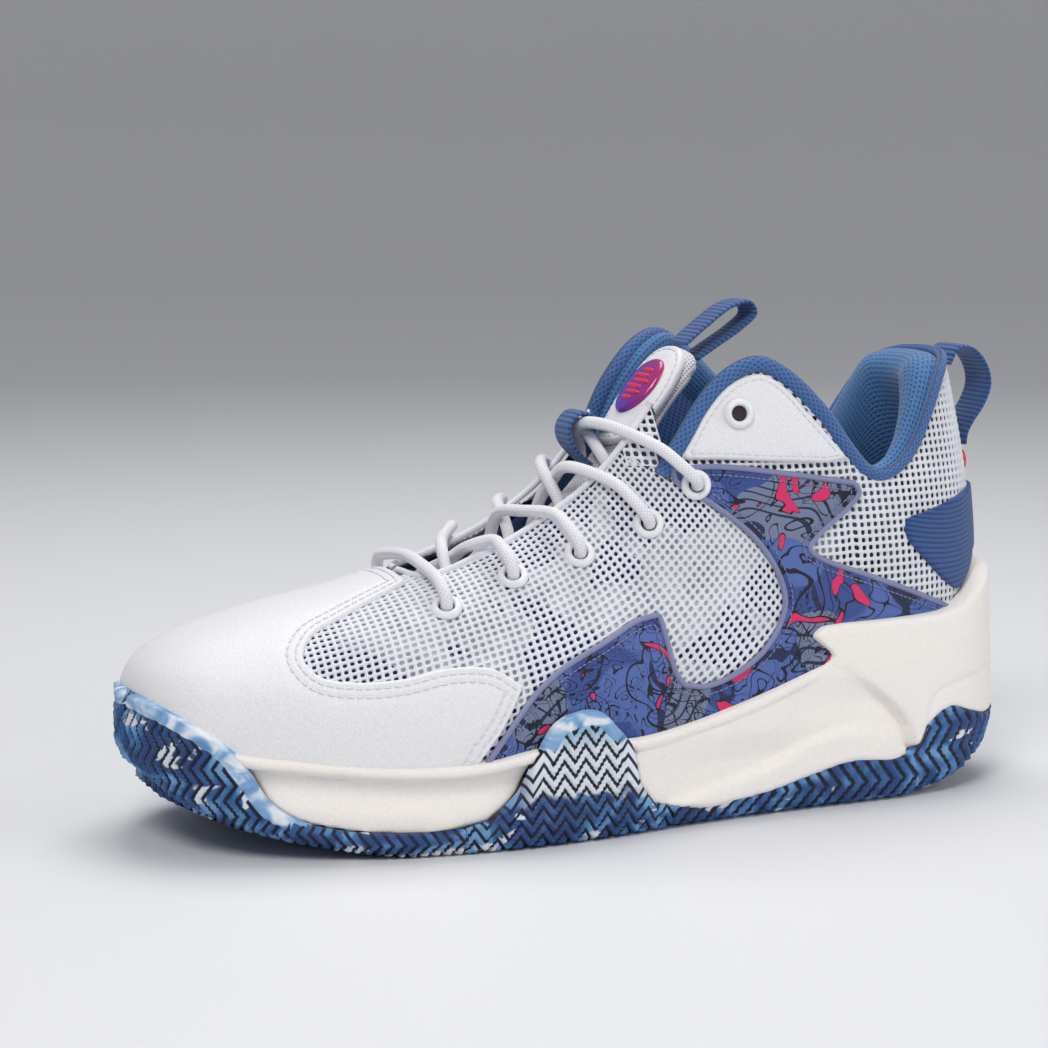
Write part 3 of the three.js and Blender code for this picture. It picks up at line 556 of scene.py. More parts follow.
class Look:
    """A procedural material, built up node by node."""

    def __init__(self, name, roughness, **constants):
        self.material = bpy.data.materials.new(name)
        self.material.use_nodes = True
        self.tree = self.material.node_tree
        self.shader = self.tree.nodes["Principled BSDF"]
        self.shader.inputs["Roughness"].default_value = roughness
        for socket, value in constants.items():
            self.shader.inputs[socket.replace("_", " ")].default_value = value
        where = self.tree.nodes.new("ShaderNodeTexCoord")
        self.solid = self.vectors("SCALE", where.outputs["Object"], 1000.0)
        self.flat = self.vectors("SCALE", where.outputs["UV"], 10.0)

    def put(self, socket, value):
        if hasattr(value, "is_output"):
            self.tree.links.new(value, socket)
        else:
            socket.default_value = value

    def vectors(self, operation, a, b):
        node = self.tree.nodes.new("ShaderNodeVectorMath")
        node.operation = operation
        self.put(node.inputs[0], a)
        self.put(node.inputs["Scale"] if operation == "SCALE" else node.inputs[1], b)
        return node.outputs[0]

    def maths(self, operation, *values):
        node = self.tree.nodes.new("ShaderNodeMath")
        node.operation = operation
        for socket, value in zip(node.inputs, values):
            self.put(socket, value)
        return node.outputs[0]

    def parts(self, vector):
        node = self.tree.nodes.new("ShaderNodeSeparateXYZ")
        self.put(node.inputs[0], vector)
        return node.outputs

    def noise(self, vector, scale, detail=2.0, twist=0.0):
        node = self.tree.nodes.new("ShaderNodeTexNoise")
        self.put(node.inputs["Vector"], vector)
        node.inputs["Scale"].default_value = scale
        node.inputs["Detail"].default_value = detail
        node.inputs["Distortion"].default_value = twist
        return node.outputs[0]

    def cells(self, vector, scale):
        node = self.tree.nodes.new("ShaderNodeTexVoronoi")
        self.put(node.inputs["Vector"], vector)
        node.inputs["Scale"].default_value = scale
        return node.outputs[0]

    def ramp(self, factor, stops):
        node = self.tree.nodes.new("ShaderNodeValToRGB")
        while len(node.color_ramp.elements) < len(stops):
            node.color_ramp.elements.new(1.0)
        for element, (at, value) in zip(node.color_ramp.elements, stops):
            element.position = at
            element.color = tuple(value) + (1,)
        self.put(node.inputs[0], factor)
        return node.outputs[0]

    def step(self, value, low, high):
        """0 below low and 1 above high."""
        node = self.tree.nodes.new("ShaderNodeMapRange")
        node.interpolation_type = "SMOOTHSTEP"
        self.put(node.inputs["Value"], value)
        node.inputs["From Min"].default_value, node.inputs["From Max"].default_value = low, high
        return node.outputs[0]

    def tint(self, value):
        """A colour for a socket, from another node's output or three numbers."""
        return value if hasattr(value, "is_output") else tuple(value) + (1,)

    def mix(self, factor, a, b):
        node = self.tree.nodes.new("ShaderNodeMix")
        node.data_type = "RGBA"
        self.put(node.inputs[0], factor)
        self.put(node.inputs[6], self.tint(a))
        self.put(node.inputs[7], self.tint(b))
        return node.outputs[2]

    def colour(self, value):
        self.put(self.shader.inputs["Base Color"], self.tint(value))
        return self

    def bump(self, height, depth):
        """Relief of a depth in millimetres."""
        node = self.tree.nodes.new("ShaderNodeBump")
        node.inputs["Strength"].default_value = 1.0
        node.inputs["Distance"].default_value = depth * 0.001
        self.put(node.inputs["Height"], height)
        self.tree.links.new(node.outputs[0], self.shader.inputs["Normal"])
        return self.material

    def wave(self, value, pitch):
        """A sine of a length, from 0 to 1."""
        turned = self.maths("MULTIPLY", value, 2 * math.pi / pitch)
        return self.maths("MULTIPLY_ADD", self.maths("SINE", turned), 0.5, 0.5)


def srgb(red, green, blue):
    """A screen colour of 0 to 255 as the shader's linear light."""
    return tuple((c / 255 / 12.92) if c / 255 < 0.04045 else ((c / 255 + 0.055) / 1.055) ** 2.4
                 for c in (red, green, blue))


def plain(name, colour, roughness, scale=2.0, depth=0.03):
    """One colour, a little uneven."""
    look = Look(name, roughness)
    shade = look.noise(look.solid, 0.06, 3)
    look.colour(look.mix(look.step(shade, 0.3, 0.7), [c * 0.94 for c in colour],
                         [min(1, c * 1.04) for c in colour]))
    return look.bump(look.noise(look.solid, scale, 3), depth)


def leather():
    """White coated leather with a fine grain."""
    look = Look("leather", 0.48, Specular_IOR_Level=0.4)
    tone = look.noise(look.solid, 2.4, 3)
    look.colour(look.mix(look.step(tone, 0.3, 0.7), srgb(226, 226, 229), srgb(240, 240, 242)))
    grain = look.cells(look.solid, 1.6)
    return look.bump(look.maths("ADD", grain, look.noise(look.solid, 3.0, 2)), 0.07)


def foam():
    """Moulded foam with a fine, dull skin."""
    look = Look("midsole foam", 0.58, Specular_IOR_Level=0.35)
    tone = look.noise(look.solid, 3.2, 2)
    look.colour(look.mix(look.step(tone, 0.3, 0.7), srgb(238, 232, 225), srgb(250, 246, 241)))
    return look.bump(look.noise(look.solid, 2.6, 3), 0.10)


def camo():
    """The cloth under the net: white with dark blue patches on the quarter, and dark round the heel."""
    look = Look("under cloth", 0.85)
    x, _, z = look.parts(look.solid)
    patch = look.noise(look.solid, 0.045, 1.5, 0.5)
    low = look.step(z, 78.0, 52.0)
    front = look.step(x, 62.0, 52.0)
    edge = look.maths("MULTIPLY_ADD", low, 0.05, patch)
    navy = look.step(look.maths("SUBTRACT", edge, 0.524), -0.01, 0.01)
    navy = look.maths("MULTIPLY", navy, front)
    pale = look.mix(look.step(look.noise(look.solid, 0.12, 2), 0.35, 0.65), srgb(150, 154, 166),
                    srgb(206, 209, 216))
    quarter = look.mix(navy, pale, srgb(26, 36, 92))
    heel = look.mix(look.step(look.noise(look.solid, 0.05, 2), 0.42, 0.62), srgb(24, 28, 38),
                    srgb(84, 90, 104))
    high = look.maths("MAXIMUM", look.step(x, 66.0, 78.0), look.step(z, 100.0, 108.0))
    look.colour(look.mix(high, quarter, heel))
    return look.bump(look.noise(look.solid, 1.6, 2), 0.08)


def overprint():
    """Blue cloth printed with inky scrolls, pink flashes and ribbed grey bands."""
    look = Look("printed overlay", 0.5, Specular_IOR_Level=0.35)
    _, _, z = look.parts(look.solid)
    ink = srgb(14, 16, 36)
    broad = look.noise(look.solid, 0.05, 1.0, 1.2)
    rings = look.maths("FRACT", look.maths("MULTIPLY", broad, 8.0))
    outline = look.maths("LESS_THAN", rings, 0.15)
    fine = look.noise(look.solid, 0.13, 0.6, 1.8)
    curl = look.maths("LESS_THAN", look.maths("FRACT", look.maths("MULTIPLY", fine, 6.0)), 0.15)
    busy = look.step(look.noise(look.solid, 0.03, 0.0), 0.46, 0.5)
    lines = look.maths("MAXIMUM", outline, look.maths("MULTIPLY", curl, busy))
    tone = look.step(look.noise(look.solid, 0.035, 1.0, 0.5), 0.47, 0.5)
    base = look.mix(tone, srgb(52, 74, 140), srgb(78, 102, 168))
    dusk = look.step(look.noise(look.solid, 0.055, 1.0, 1.0), 0.60, 0.61)
    base = look.mix(dusk, base, srgb(34, 40, 82))
    field = look.noise(look.vectors("ADD", look.solid, (40.0, 0.0, 9.0)), 0.032, 0.6)
    wander = look.maths("MULTIPLY_ADD", look.noise(look.solid, 0.04, 0.5), 36.0, z)
    ribs = look.maths("LESS_THAN", look.wave(wander, 4.4), 0.12)
    band = look.mix(ribs, srgb(112, 122, 152), srgb(36, 40, 70))
    base = look.mix(look.step(field, 0.585, 0.59), base, band)
    inked = look.mix(lines, base, ink)
    flash = look.noise(look.vectors("ADD", look.solid, (7.0, 3.0, 80.0)), 0.058, 0.8, 1.5)
    inked = look.mix(look.step(flash, 0.618, 0.62), inked, ink)
    look.colour(look.mix(look.step(flash, 0.636, 0.638), inked, srgb(214, 40, 100)))
    return look.bump(look.noise(look.solid, 2.5, 2), 0.05)


def rubber(name, pitch, swing, period, upright):
    """Marbled rubber, navy and mid blue with pale streaks, and painted shade in the grooves between its
    zigzag ridges.
    """
    look = Look(name, 0.42, Specular_IOR_Level=0.45)
    x, _, z = look.parts(look.solid)
    swirl = look.noise(look.solid, 0.045, 2.0, 1.8)
    blues = look.ramp(swirl, [(0.0, srgb(26, 50, 98)), (0.45, srgb(36, 72, 130)), (0.54, srgb(58, 108, 166)),
                              (0.62, srgb(110, 158, 204))])
    streak = look.noise(look.vectors("MULTIPLY", look.solid, (1.0, 1.0, 2.0)), 0.05, 2, 1.2)
    white = look.step(streak, 0.625, 0.66)
    wing = look.maths("MULTIPLY", look.step(x, -46.0, -38.0), look.step(x, 4.0, -4.0))
    border = look.maths("MULTIPLY_ADD", look.noise(look.solid, 0.08, 2, 1.0), 16.0, z)
    chalk = look.maths("MULTIPLY", wing, look.step(border, 22.0, 24.5))
    mixed = look.mix(look.maths("MAXIMUM", white, chalk), blues, srgb(222, 227, 235))
    sky = look.maths("MULTIPLY", wing, look.step(z, 28.0, 36.0))
    mixed = look.mix(look.maths("MULTIPLY", sky, 0.75), mixed, srgb(112, 170, 208))
    u, v, _ = look.parts(look.flat)
    if not upright:
        u, v = v, u
    swung = look.maths("FLOORED_MODULO", look.maths("DIVIDE", v, period), 1.0)
    turn = look.maths("ABSOLUTE", look.maths("MULTIPLY_ADD", swung, 2.0, -1.0))
    phase = look.maths("DIVIDE", look.maths("MULTIPLY_ADD", turn, swing, u), pitch)
    away = look.maths("ABSOLUTE", look.maths("SUBTRACT", look.maths("FLOORED_MODULO", phase, 1.0), 0.5))
    # the grooves between the ridges are coloured dark navy: painted shade
    look.colour(look.mix(look.step(away, 0.27, 0.35), mixed, srgb(12, 24, 52)))
    return look.bump(look.noise(look.solid, 1.5, 2), 0.04)


def rim_rubber():
    """Pale blue rubber marbled with white, for the smooth rims."""
    look = Look("rubber rim", 0.4, Specular_IOR_Level=0.45)
    swirl = look.noise(look.vectors("MULTIPLY", look.solid, (1.0, 1.0, 1.8)), 0.06, 2, 1.6)
    look.colour(look.ramp(swirl, [(0.3, srgb(84, 132, 184)), (0.48, srgb(132, 172, 212)),
                                  (0.56, srgb(186, 206, 228)), (0.64, srgb(226, 232, 240))]))
    return look.bump(look.noise(look.solid, 1.5, 2), 0.03)


def knit(name, colour, pitch=1.5, depth=0.3):
    """Spacer knit: rows of small dimples, with painted shade in them."""
    look = Look(name, 0.8, Sheen_Weight=0.25, Sheen_Roughness=0.5)
    u, v, _ = look.parts(look.flat)
    shift = look.maths("MULTIPLY", look.maths("FLOOR", look.maths("DIVIDE", v, pitch)), pitch * 0.5)
    dots = look.maths("MULTIPLY", look.wave(look.maths("ADD", u, shift), pitch), look.wave(v, pitch))
    # the dimples are coloured at half brightness: painted shade
    dark = [c * 0.5 for c in colour]
    look.colour(look.mix(look.step(dots, 0.1, 0.55), colour, dark))
    return look.bump(look.maths("SUBTRACT", 1.0, dots), depth)


def ribbed(name, colour, pitch=1.7, depth=0.35, slant=0.0):
    """Webbing: ribs across its length, with fine threads in them, and painted shade in the furrows between
    the ribs.
    """
    look = Look(name, 0.72, Sheen_Weight=0.2)
    u, v, _ = look.parts(look.flat)
    u = look.maths("ADD", u, look.maths("MULTIPLY", v, slant))
    ridge = look.wave(u, pitch)
    thread = look.wave(v, 0.5)
    # the furrows between the ribs are coloured darker: painted shade
    look.colour(look.mix(look.step(ridge, 0.1, 0.5), [c * 0.4 for c in colour], colour))
    return look.bump(look.maths("MULTIPLY_ADD", thread, 0.15, ridge), depth)


def braid(name, colour, pitch, around, depth=0.25, shade=0.5):
    """Plaited strands on a tube, with painted shade between the strands: u runs along it and v once round.
    """
    look = Look(name, 0.75, Sheen_Weight=0.2)
    u, v, _ = look.parts(look.flat)
    turn = look.maths("MULTIPLY", v, around * pitch / 10.0)
    one = look.wave(look.maths("ADD", u, turn), pitch)
    two = look.wave(look.maths("SUBTRACT", u, turn), pitch)
    weave = look.maths("MAXIMUM", one, two)
    # the gaps between the strands are coloured darker: painted shade
    look.colour(look.mix(look.step(weave, 0.45, 0.85), [c * shade for c in colour], colour))
    return look.bump(weave, depth)


def badge(name, low, middle, high):
    """Glossy enamel that runs from one colour through another to a third across the tongue badge."""
    look = Look(name, 0.22, Coat_Weight=0.6)
    x, y, _ = look.parts(look.flat)
    badge_middle = 229.2
    along_badge = look.maths("SUBTRACT", x, badge_middle)
    spread = look.maths("SUBTRACT", look.maths("MULTIPLY", y, 0.035),
                        look.maths("MULTIPLY", along_badge, 0.012))
    look.colour(look.ramp(look.maths("ADD", spread, 0.5), [(0.0, low), (0.5, middle), (1.0, high)]))
    return look.bump(look.noise(look.solid, 0.5, 1), 0.05)


LEATHER = leather()
FOAM = foam()
CAMO = camo()
PRINT = overprint()
RIM = rim_rubber()
NET = plain("net thread", srgb(226, 228, 235), 0.6, 3.0, 0.05)
THREAD = plain("stitching", srgb(222, 224, 234), 0.65)
KNIT = knit("blue knit", srgb(72, 124, 182), 1.7)
INSIDE = knit("lining knit", srgb(58, 100, 160), 1.4)
TONGUE_CLOTH = knit("tongue mesh", srgb(232, 226, 236), 1.6, 0.25)
BINDING = braid("braided binding", srgb(66, 108, 170), 2.6, 10)
WEBBING = ribbed("webbing", srgb(52, 96, 162))
HEEL_CLOTH = ribbed("heel patch cloth", srgb(36, 80, 146), 1.3, 0.2, 0.6)
LACE = braid("lace cord", srgb(236, 235, 242), 1.1, 8, 0.06, 0.82)
RING = plain("eyelet plastic", srgb(236, 237, 240), 0.3, 1.0, 0.01)
# the dark disc across each eyelet's bore: painted shade standing in for the shadow in the hole
BORE_SHADE = plain("eyelet bore shade", srgb(52, 40, 44), 0.8)
PIPING = plain("piping", srgb(128, 132, 168), 0.4)
TAB = plain("throat tab", srgb(205, 208, 216), 0.5)
BADGE = badge("tongue badge", srgb(190, 30, 90), srgb(110, 34, 150), srgb(44, 44, 190))
FLAME = plain("badge mark", srgb(232, 40, 82), 0.35)
HEEL_RED = plain("heel badge", srgb(222, 46, 62), 0.35)
BOARD = plain("board", srgb(200, 190, 168), 0.9)
PLASTIC = plain("black plastic", srgb(50, 54, 62), 0.5)

# ------------------------------------------------------------------ the sole

SOLE_SCALE = np.array([1.0, 1.0])
LIP = 4.0  # the flat band under the midsole's top edge


def sole_outline(runs, side):
    """A side-elevation outline as lengths round the sole and heights."""
    return sole_at(evenly(joined(runs), 1.2), side)


def blend(value, width):
    """A smooth step from 0 to 1 as a value passes through 0."""
    return 1 / (1 + np.exp(-value / width))


def groove(points, line, width, depth):
    """A groove along a line of the side elevation."""
    return -depth * np.exp(-(nearest(points, line) / width) ** 2)


def beside(points, line):
    """Signed distance to a line: positive on its right, walking along it."""
    at = np.argmin(((points[:, None] - line[None]) ** 2).sum(-1), 1)
    at = np.clip(at, 0, len(line) - 2)
    ahead = line[at + 1] - line[at]
    gap = points - line[at]
    sign = np.sign(ahead[:, 0] * gap[:, 1] - ahead[:, 1] * gap[:, 0])
    return -sign * nearest(points, line)


CLAW_FRONT = evenly(smooth([(64, 53), (71.5, 49), (84, 40.5), (94, 32.5), (101, 25), (105, 14)]), 0.8)
BULGE = evenly(smooth([(8, 8), (25, 11.5), (47, 16.5), (61, 22), (76, 25.5), (90, 24), (100, 18)]), 0.8)
PANEL_LINE = evenly(smooth([(108, 20), (112, 33), (124, 37), (139, 39)]), 0.8)
RUBBER_TOP = {
    "lateral": np.vstack([smooth(RUBBER_TOE), smooth(RUBBER_OUTRIGGER), smooth(RUBBER_HEEL)]),
    "medial": np.vstack([smooth(RUBBER_TOE), [(-30, 9), (5, 8)], smooth(RUBBER_HEEL)]),
}


def midsole_relief(_, points, far):
    """The lip, the hollow band under it, the claw that grips the heel and the bulge over the shank."""
    x, y, z = points.T
    flat = points[:, [0, 2]]
    ahead, before = blend(66 - x, 1.5), blend(-6 - x, 3)
    lip = (1.4 - 2.4 * blend(far - LIP, 0.15)) * (0.25 + 0.75 * before) * ahead
    hollow = -1.8 * np.exp(-((far - 9) / 5.0) ** 2) * before
    swell = 2.3 * np.exp(-((x - 42) / 30) ** 2) * np.clip((z - 20) / 8, 0, 1)
    front = np.where(x > 55, blend(beside(flat, CLAW_FRONT), 0.5), 1.0)
    near = np.exp(-nearest(flat, CLAW_FRONT) / 10) * (x > 55) * np.clip((42 - z) / 8, 0, 1)
    claw = 0.3 - front * (0.9 + 0.9 * before + 3.6 * near)
    bulge = 2.3 * blend(beside(flat, BULGE), 0.6) * (x < 101) * (x > 2)
    seam = groove(flat, PANEL_LINE, 0.7, 0.8)
    edge = np.where(y < 0, *(np.interp(x, line[:, 0], line[:, 1]) for line in RUBBER_TOP.values()))
    covered = -3.5 * blend(edge - 1.6 - z, 0.4)
    return lip + hollow + swell + claw + bulge + seam + covered


def midsole():
    """The whole foam wall, from one heel edge round the toe to the other."""
    top = [sole_outline(MIDSOLE_TOP, side) for side in SIDES]
    top[0][-1, 0], top[1][-1, 0] = HEEL_AT, HEEL_AT - ROUND
    upper_edge = np.vstack([top[1][::-1], top[0][1:]])
    length = np.arange(HEEL_AT, HEEL_AT - ROUND, -1.5)
    foot = np.stack([length, underside(length) + 2.2], 1)
    heel = [np.stack([np.full(40, at), np.linspace(72, 28, 40)], 1) for at in (HEEL_AT, HEEL_AT - ROUND)]
    loop = np.vstack([upper_edge, heel[0], foot, heel[1][::-1]])
    free = np.zeros(len(loop), bool)
    free[:len(upper_edge)] = True
    made = panel("midsole_wall", sole, SOLE_SCALE, loop, (-6.2, 0.0), FOAM, "midsole_foam", rounding=1.5,
                 gap=1.05, free=free, relief=midsole_relief, rings=(3.6, 4.0, 4.4, 5.2))
    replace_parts(made, "midsole")


def zigzag(at, pitch, swing, period, upright):
    """The place across the ridges, in ridges."""
    u, v = (at[..., 0], at[..., 1]) if upright else (at[..., 1], at[..., 0])
    return (u + swing * np.abs(2 * np.mod(v / period, 1) - 1)) / pitch


def zigzag_cloud(low, high, pitch, swing, period, upright):
    """Points along the ridges' crests and edges, so that the mesh keeps them crisp."""
    if not upright:
        low, high = low[::-1], high[::-1]
    across = np.arange(math.floor((low[0] - swing) / pitch), math.ceil((high[0] + swing) / pitch) + 1)
    across = (across[:, None] + np.array([0.0, 0.13, 0.26, 0.5, 0.74, 0.87])[None]).ravel() * pitch
    v = np.arange(math.floor(low[1] / period) * period, high[1] + period, period / 8)
    uu, vv = np.meshgrid(across, v, indexing="ij")
    uu = uu - swing * np.abs(2 * np.mod(vv / period, 1) - 1)
    return np.stack([uu.ravel(), vv.ravel()] if upright else [vv.ravel(), uu.ravel()], 1)


def ridges(phase, depth):
    """The relief of ridges with flat crests and sloped walls."""
    t = np.abs(np.mod(phase, 1) - 0.5) * 2
    return -depth * np.clip((t - 0.42) / 0.32, 0, 1)


def rubber_panel(name, loop, band, pitch, swing, period, upright, rim_from):
    """Rubber on the sidewall: a smooth rim along the top edge, and herringbone ridges inside it."""
    proud, groove_depth = 0.6, 1.5
    low, high = loop.min(0), loop.max(0)
    free = loop[:, 1] - underside(loop[:, 0]) > 2.5
    free &= (loop[:, 0] > low[0] + 0.3) & (loop[:, 0] < high[0] - 0.3)

    def relief(at, points, far):
        phase = zigzag(at, pitch, swing, period, upright)
        toe = np.clip((-112 - points[:, 0]) / 12, 0, 1) * np.clip((points[:, 2] - 22) / 10, 0, 1)
        return ridges(phase, groove_depth) * blend(far - band, 0.22) + 0.9 * toe

    cloud = zigzag_cloud(low, high, pitch, swing, period, upright)
    made = panel(name, sole, SOLE_SCALE, loop, (-2.4, proud), rubber(name, pitch, swing, period, upright),
                 "outsole_rubber", rounding=1.0, gap=1.0, free=free, relief=relief,
                 rings=(band - 0.5, band, band + 0.5), cloud=cloud)
    made.data.materials.append(RIM)
    corners = np.empty(len(made.data.loops) * 2, np.float32)
    made.data.uv_layers[0].data.foreach_get("uv", corners)
    starts = np.array([polygon.loop_start for polygon in made.data.polygons])
    at = (corners.reshape(-1, 2)[starts[:, None] + np.arange(3)]).mean(1) * 10
    edge = sole(loop[free][:, 0], loop[free][:, 1])
    rim = (nearest(sole(at[:, 0], at[:, 1]), edge) < band) & (at[:, 1] > rim_from)
    made.data.polygons.foreach_set("material_index", rim.astype(np.int32))
    return made


def rubber_edge(side):
    """The rubber's whole top edge along one side, from the toe tip to the heel."""
    wing = [RUBBER_OUTRIGGER] if side == "lateral" else [[(-52, 10.5), (-30, 9.5), (5, 8)]]
    return np.vstack([
        sole_outline([RUBBER_TOE], side), sole_at([(-61, 8.5), (-52, 10.5)], side),
        sole_outline(wing, side)[1:], sole_at([(12, 8), (25, 9)], side),
        sole_outline([RUBBER_HEEL], side)[1:]])


def stretch(line, start, end):
    """The part of a top edge between two lengths, with both ends exactly there."""
    line = line[np.argsort(line[:, 0], kind="stable")]
    ends = np.stack([[start, end], np.interp([start, end], line[:, 0], line[:, 1])], 1)
    middle = line[(line[:, 0] > start + 0.2) & (line[:, 0] < end - 0.2)]
    return np.vstack([ends[:1], middle, ends[1:]])


def sidewall_rubber():
    """The toe wrap, the outrigger, the arch edge and the heel wrap."""
    lateral, medial = rubber_edge("lateral"), rubber_edge("medial")
    (toe_end, heel_start), (toe_start, heel_end) = (
        sole_at([(-60, 10), (12, 8)], side)[:, 0] for side in SIDES)
    front = HEEL_AT - ROUND
    toe_top = np.vstack([stretch(medial, toe_start, 0.0), stretch(lateral, 0.0, toe_end)[1:]])
    heel_top = np.vstack([stretch(lateral, heel_start, HEEL_AT),
                          stretch(medial, front, heel_end)[1:] + (ROUND, 0)])
    parts = (  # name, top edge, rim, ridge pitch, swing and period, ridges upright, lowest rim colour
        ("outsole_toe", toe_top, 4.4, 3.6, 3.6, 9.5, True, 12),
        ("outsole_outrigger", stretch(lateral, toe_end, heel_start), 4.6, 4.4, 5.0, 7.4, False, 31),
        ("outsole_arch", stretch(medial, heel_end, toe_start), 1.0, 4.4, 5.0, 7.4, False, 50),
        ("outsole_heel", heel_top, 1.6, 5.0, 6.0, 15.0, True, 50),
    )
    for name, top, *rest in parts:
        length = np.arange(top[-1, 0], top[0, 0], -1.2)
        loop = np.vstack([top, np.stack([length, underside(length) + 0.02], 1)])
        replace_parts(rubber_panel(name, loop, *rest), "outsole")


def tread():
    """The underside, with the same herringbone."""
    length = np.arange(0, ROUND, 1.5)
    loop = sole(length, underside(length) + 0.02)[::-1, 1::-1]
    pattern = (4.4, 5.0, 12.0, False)

    def ground(v, u):
        return np.stack([u, v, np.interp(u, *zip(*ROCKER))], -1)

    def relief(at, _points, _far):
        return ridges(zigzag(at, *pattern), 1.6)

    made = panel("outsole_tread", ground, SOLE_SCALE, loop, (0.0, 0.0), rubber("tread rubber", *pattern),
                 "outsole_rubber", gap=1.4, relief=relief, rounding=2.0,
                 cloud=zigzag_cloud(loop.min(0), loop.max(0), *pattern))
    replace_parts(made, "outsole")


# ------------------------------------------------------------------ the upper

UPPER_SCALE = np.array([25.0, 0.75])
FOOT_ANGLE = 152.0


def hidden_by(points):
    """Which points of a side elevation are under an overlay, well inside its edge."""
    vamp = np.vstack([[(-62, 95)], joined(VAMP_REAR), [(-60, 0), (-170, 0), (-170, 95)]])
    cover = np.vstack([joined(PRINT_INNER), joined(PRINT_OUTER), np.array(PRINT_FOOT)])
    patch = joined(ANKLE_PATCH)
    under = np.zeros(len(points), bool)
    for polygon in (vamp, cover, patch):
        under |= inside(points, polygon) & (nearest(points, evenly(polygon, 1.0, True)) > 2.0)
    return under


def over_collar(points, side):
    """Which points of a side elevation are above the collar's edge."""
    line = joined([COLLAR_LINE[side]])
    polygon = np.vstack([line, [(170, 146), (170, 250), (line[0][0], 250)]])
    return inside(points, polygon)


def throat_half(x):
    """Half the throat slot's width, and less than nothing ahead of it and behind it."""
    return np.interp(x, *zip(*(THROAT + [(62, 20)])), left=-1.0, right=-1.0)


def in_throat(points):
    """Which points are over the throat slot."""
    return (np.abs(points[:, 1]) < throat_half(points[:, 0])) & (points[:, 2] > 60)


def outside_upper(points):
    """Points of the upper's skin that lie in the throat slot or above the collar's edge."""
    side = np.where(points[:, 1] < 0, -1, 1)
    out = in_throat(points) & (points[:, 0] < 62)
    for name, sign in SIDES.items():
        out |= (side == sign) & over_collar(points[:, [0, 2]], name)
    return out


def skin(name, offset, material, slot):
    """The whole sock at one offset, without the throat slot and what is above the collar."""
    s, a = np.meshgrid(np.arange(0.3, 13, 0.045), np.arange(-180, 180, 1.6), indexing="ij")
    points = upper(s, a, offset).reshape(-1, 3)
    faces = grid_faces(*s.shape, True)
    centre = upper(s, a, 0).reshape(-1, 3)[faces].mean(1)
    drop = outside_upper(centre) | (centre[:, 0] < -104) & (centre[:, 2] < 57) & (offset > -2)
    uv = np.stack([s.ravel() * 2.5, np.radians(a.ravel()) * 4.0], 1)
    used, faces = np.unique(faces[~drop], return_inverse=True)
    return piece(name, points[used], faces.reshape(-1, 4), material, slot, uv=uv[used])


def vamp():
    """The leather toe and its wings, stitched in two rows behind."""
    rear = {side: on_side(evenly(joined(VAMP_REAR), 1.0), side) for side in SIDES}
    bridge = np.linspace(rear["lateral"][0], rear["medial"][0], 13)[1:-1]
    foot = {}
    for side, sign in SIDES.items():
        last = rear[side][-1]
        section = np.linspace(last[0], 0.35, 60)
        foot[side] = np.stack([section, np.linspace(last[1], sign * FOOT_ANGLE, 60)], 1)
    tip = np.stack([np.full(61, 0.35), np.linspace(FOOT_ANGLE, -FOOT_ANGLE, 61)], 1)
    loop = np.vstack([bridge, rear["medial"], foot["medial"][1:], tip[1:-1], foot["lateral"][::-1][:-1],
                      rear["lateral"][::-1]])
    free = np.zeros(len(loop), bool)
    free[:len(bridge) + len(rear["medial"])] = True
    free[-len(rear["lateral"]):] = True

    def relief(_, points, far):
        rows = -0.35 * np.exp(-((far - 2.2) / 0.5) ** 2) - 0.35 * np.exp(-((far - 4.8) / 0.5) ** 2)
        tucked = np.clip((-104 - points[:, 0]) / 18, 0, 1) * np.clip((54 - points[:, 2]) / 8, 0, 1)
        return rows - 0.9 * tucked

    made = panel("vamp_leather", upper, UPPER_SCALE, loop, (0.0, 1.5), LEATHER, "white_leather",
                 rounding=0.9, gap=2.0, free=free, relief=relief, rings=(1.4, 2.2, 3.0, 4.1, 4.8, 5.6))
    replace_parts(made, "vamp")
    edge = np.vstack([rear["lateral"][::-1], bridge, rear["medial"]])
    rows = []
    for distance in (2.2, 4.8):
        line = inset_open(edge, distance, 1)
        rows.append((upper(line[:, 0], line[:, 1], 1.25), outward(line[:, 0], line[:, 1])))
    stitches("vamp_stitching", rows, THREAD, "white_textile", pitch=2.9, length=2.1, radius=0.3)


def inset_open(line, distance, turn):
    """A line of the upper moved sideways over it, without the points that would crowd at a corner."""
    here = upper(line[:, 0], line[:, 1])
    inward = np.cross(facing(upper, line), unit(np.gradient(here, axis=0))) * turn
    moved = step_over(upper, line, here + inward * distance)
    far = nearest(upper(moved[:, 0], moved[:, 1]), here)
    return moved[far > distance * 0.93]


def raised(_, _points, far):
    """The crease that a row of stitches 2 mm from the edge pulls in."""
    return -0.25 * np.exp(-((far - 2.0) / 0.45) ** 2)


def stitch_rows(line, height):
    """A line of the upper as rows for stitches(), parted wherever it jumps."""
    points = upper(line[:, 0], line[:, 1], height)
    jump = np.linalg.norm(np.diff(points, axis=0), axis=1) > 6
    runs = np.split(np.arange(len(points)), np.nonzero(jump)[0] + 1)
    return [(points[run], outward(line[run, 0], line[run, 1])) for run in runs if len(run) > 4]


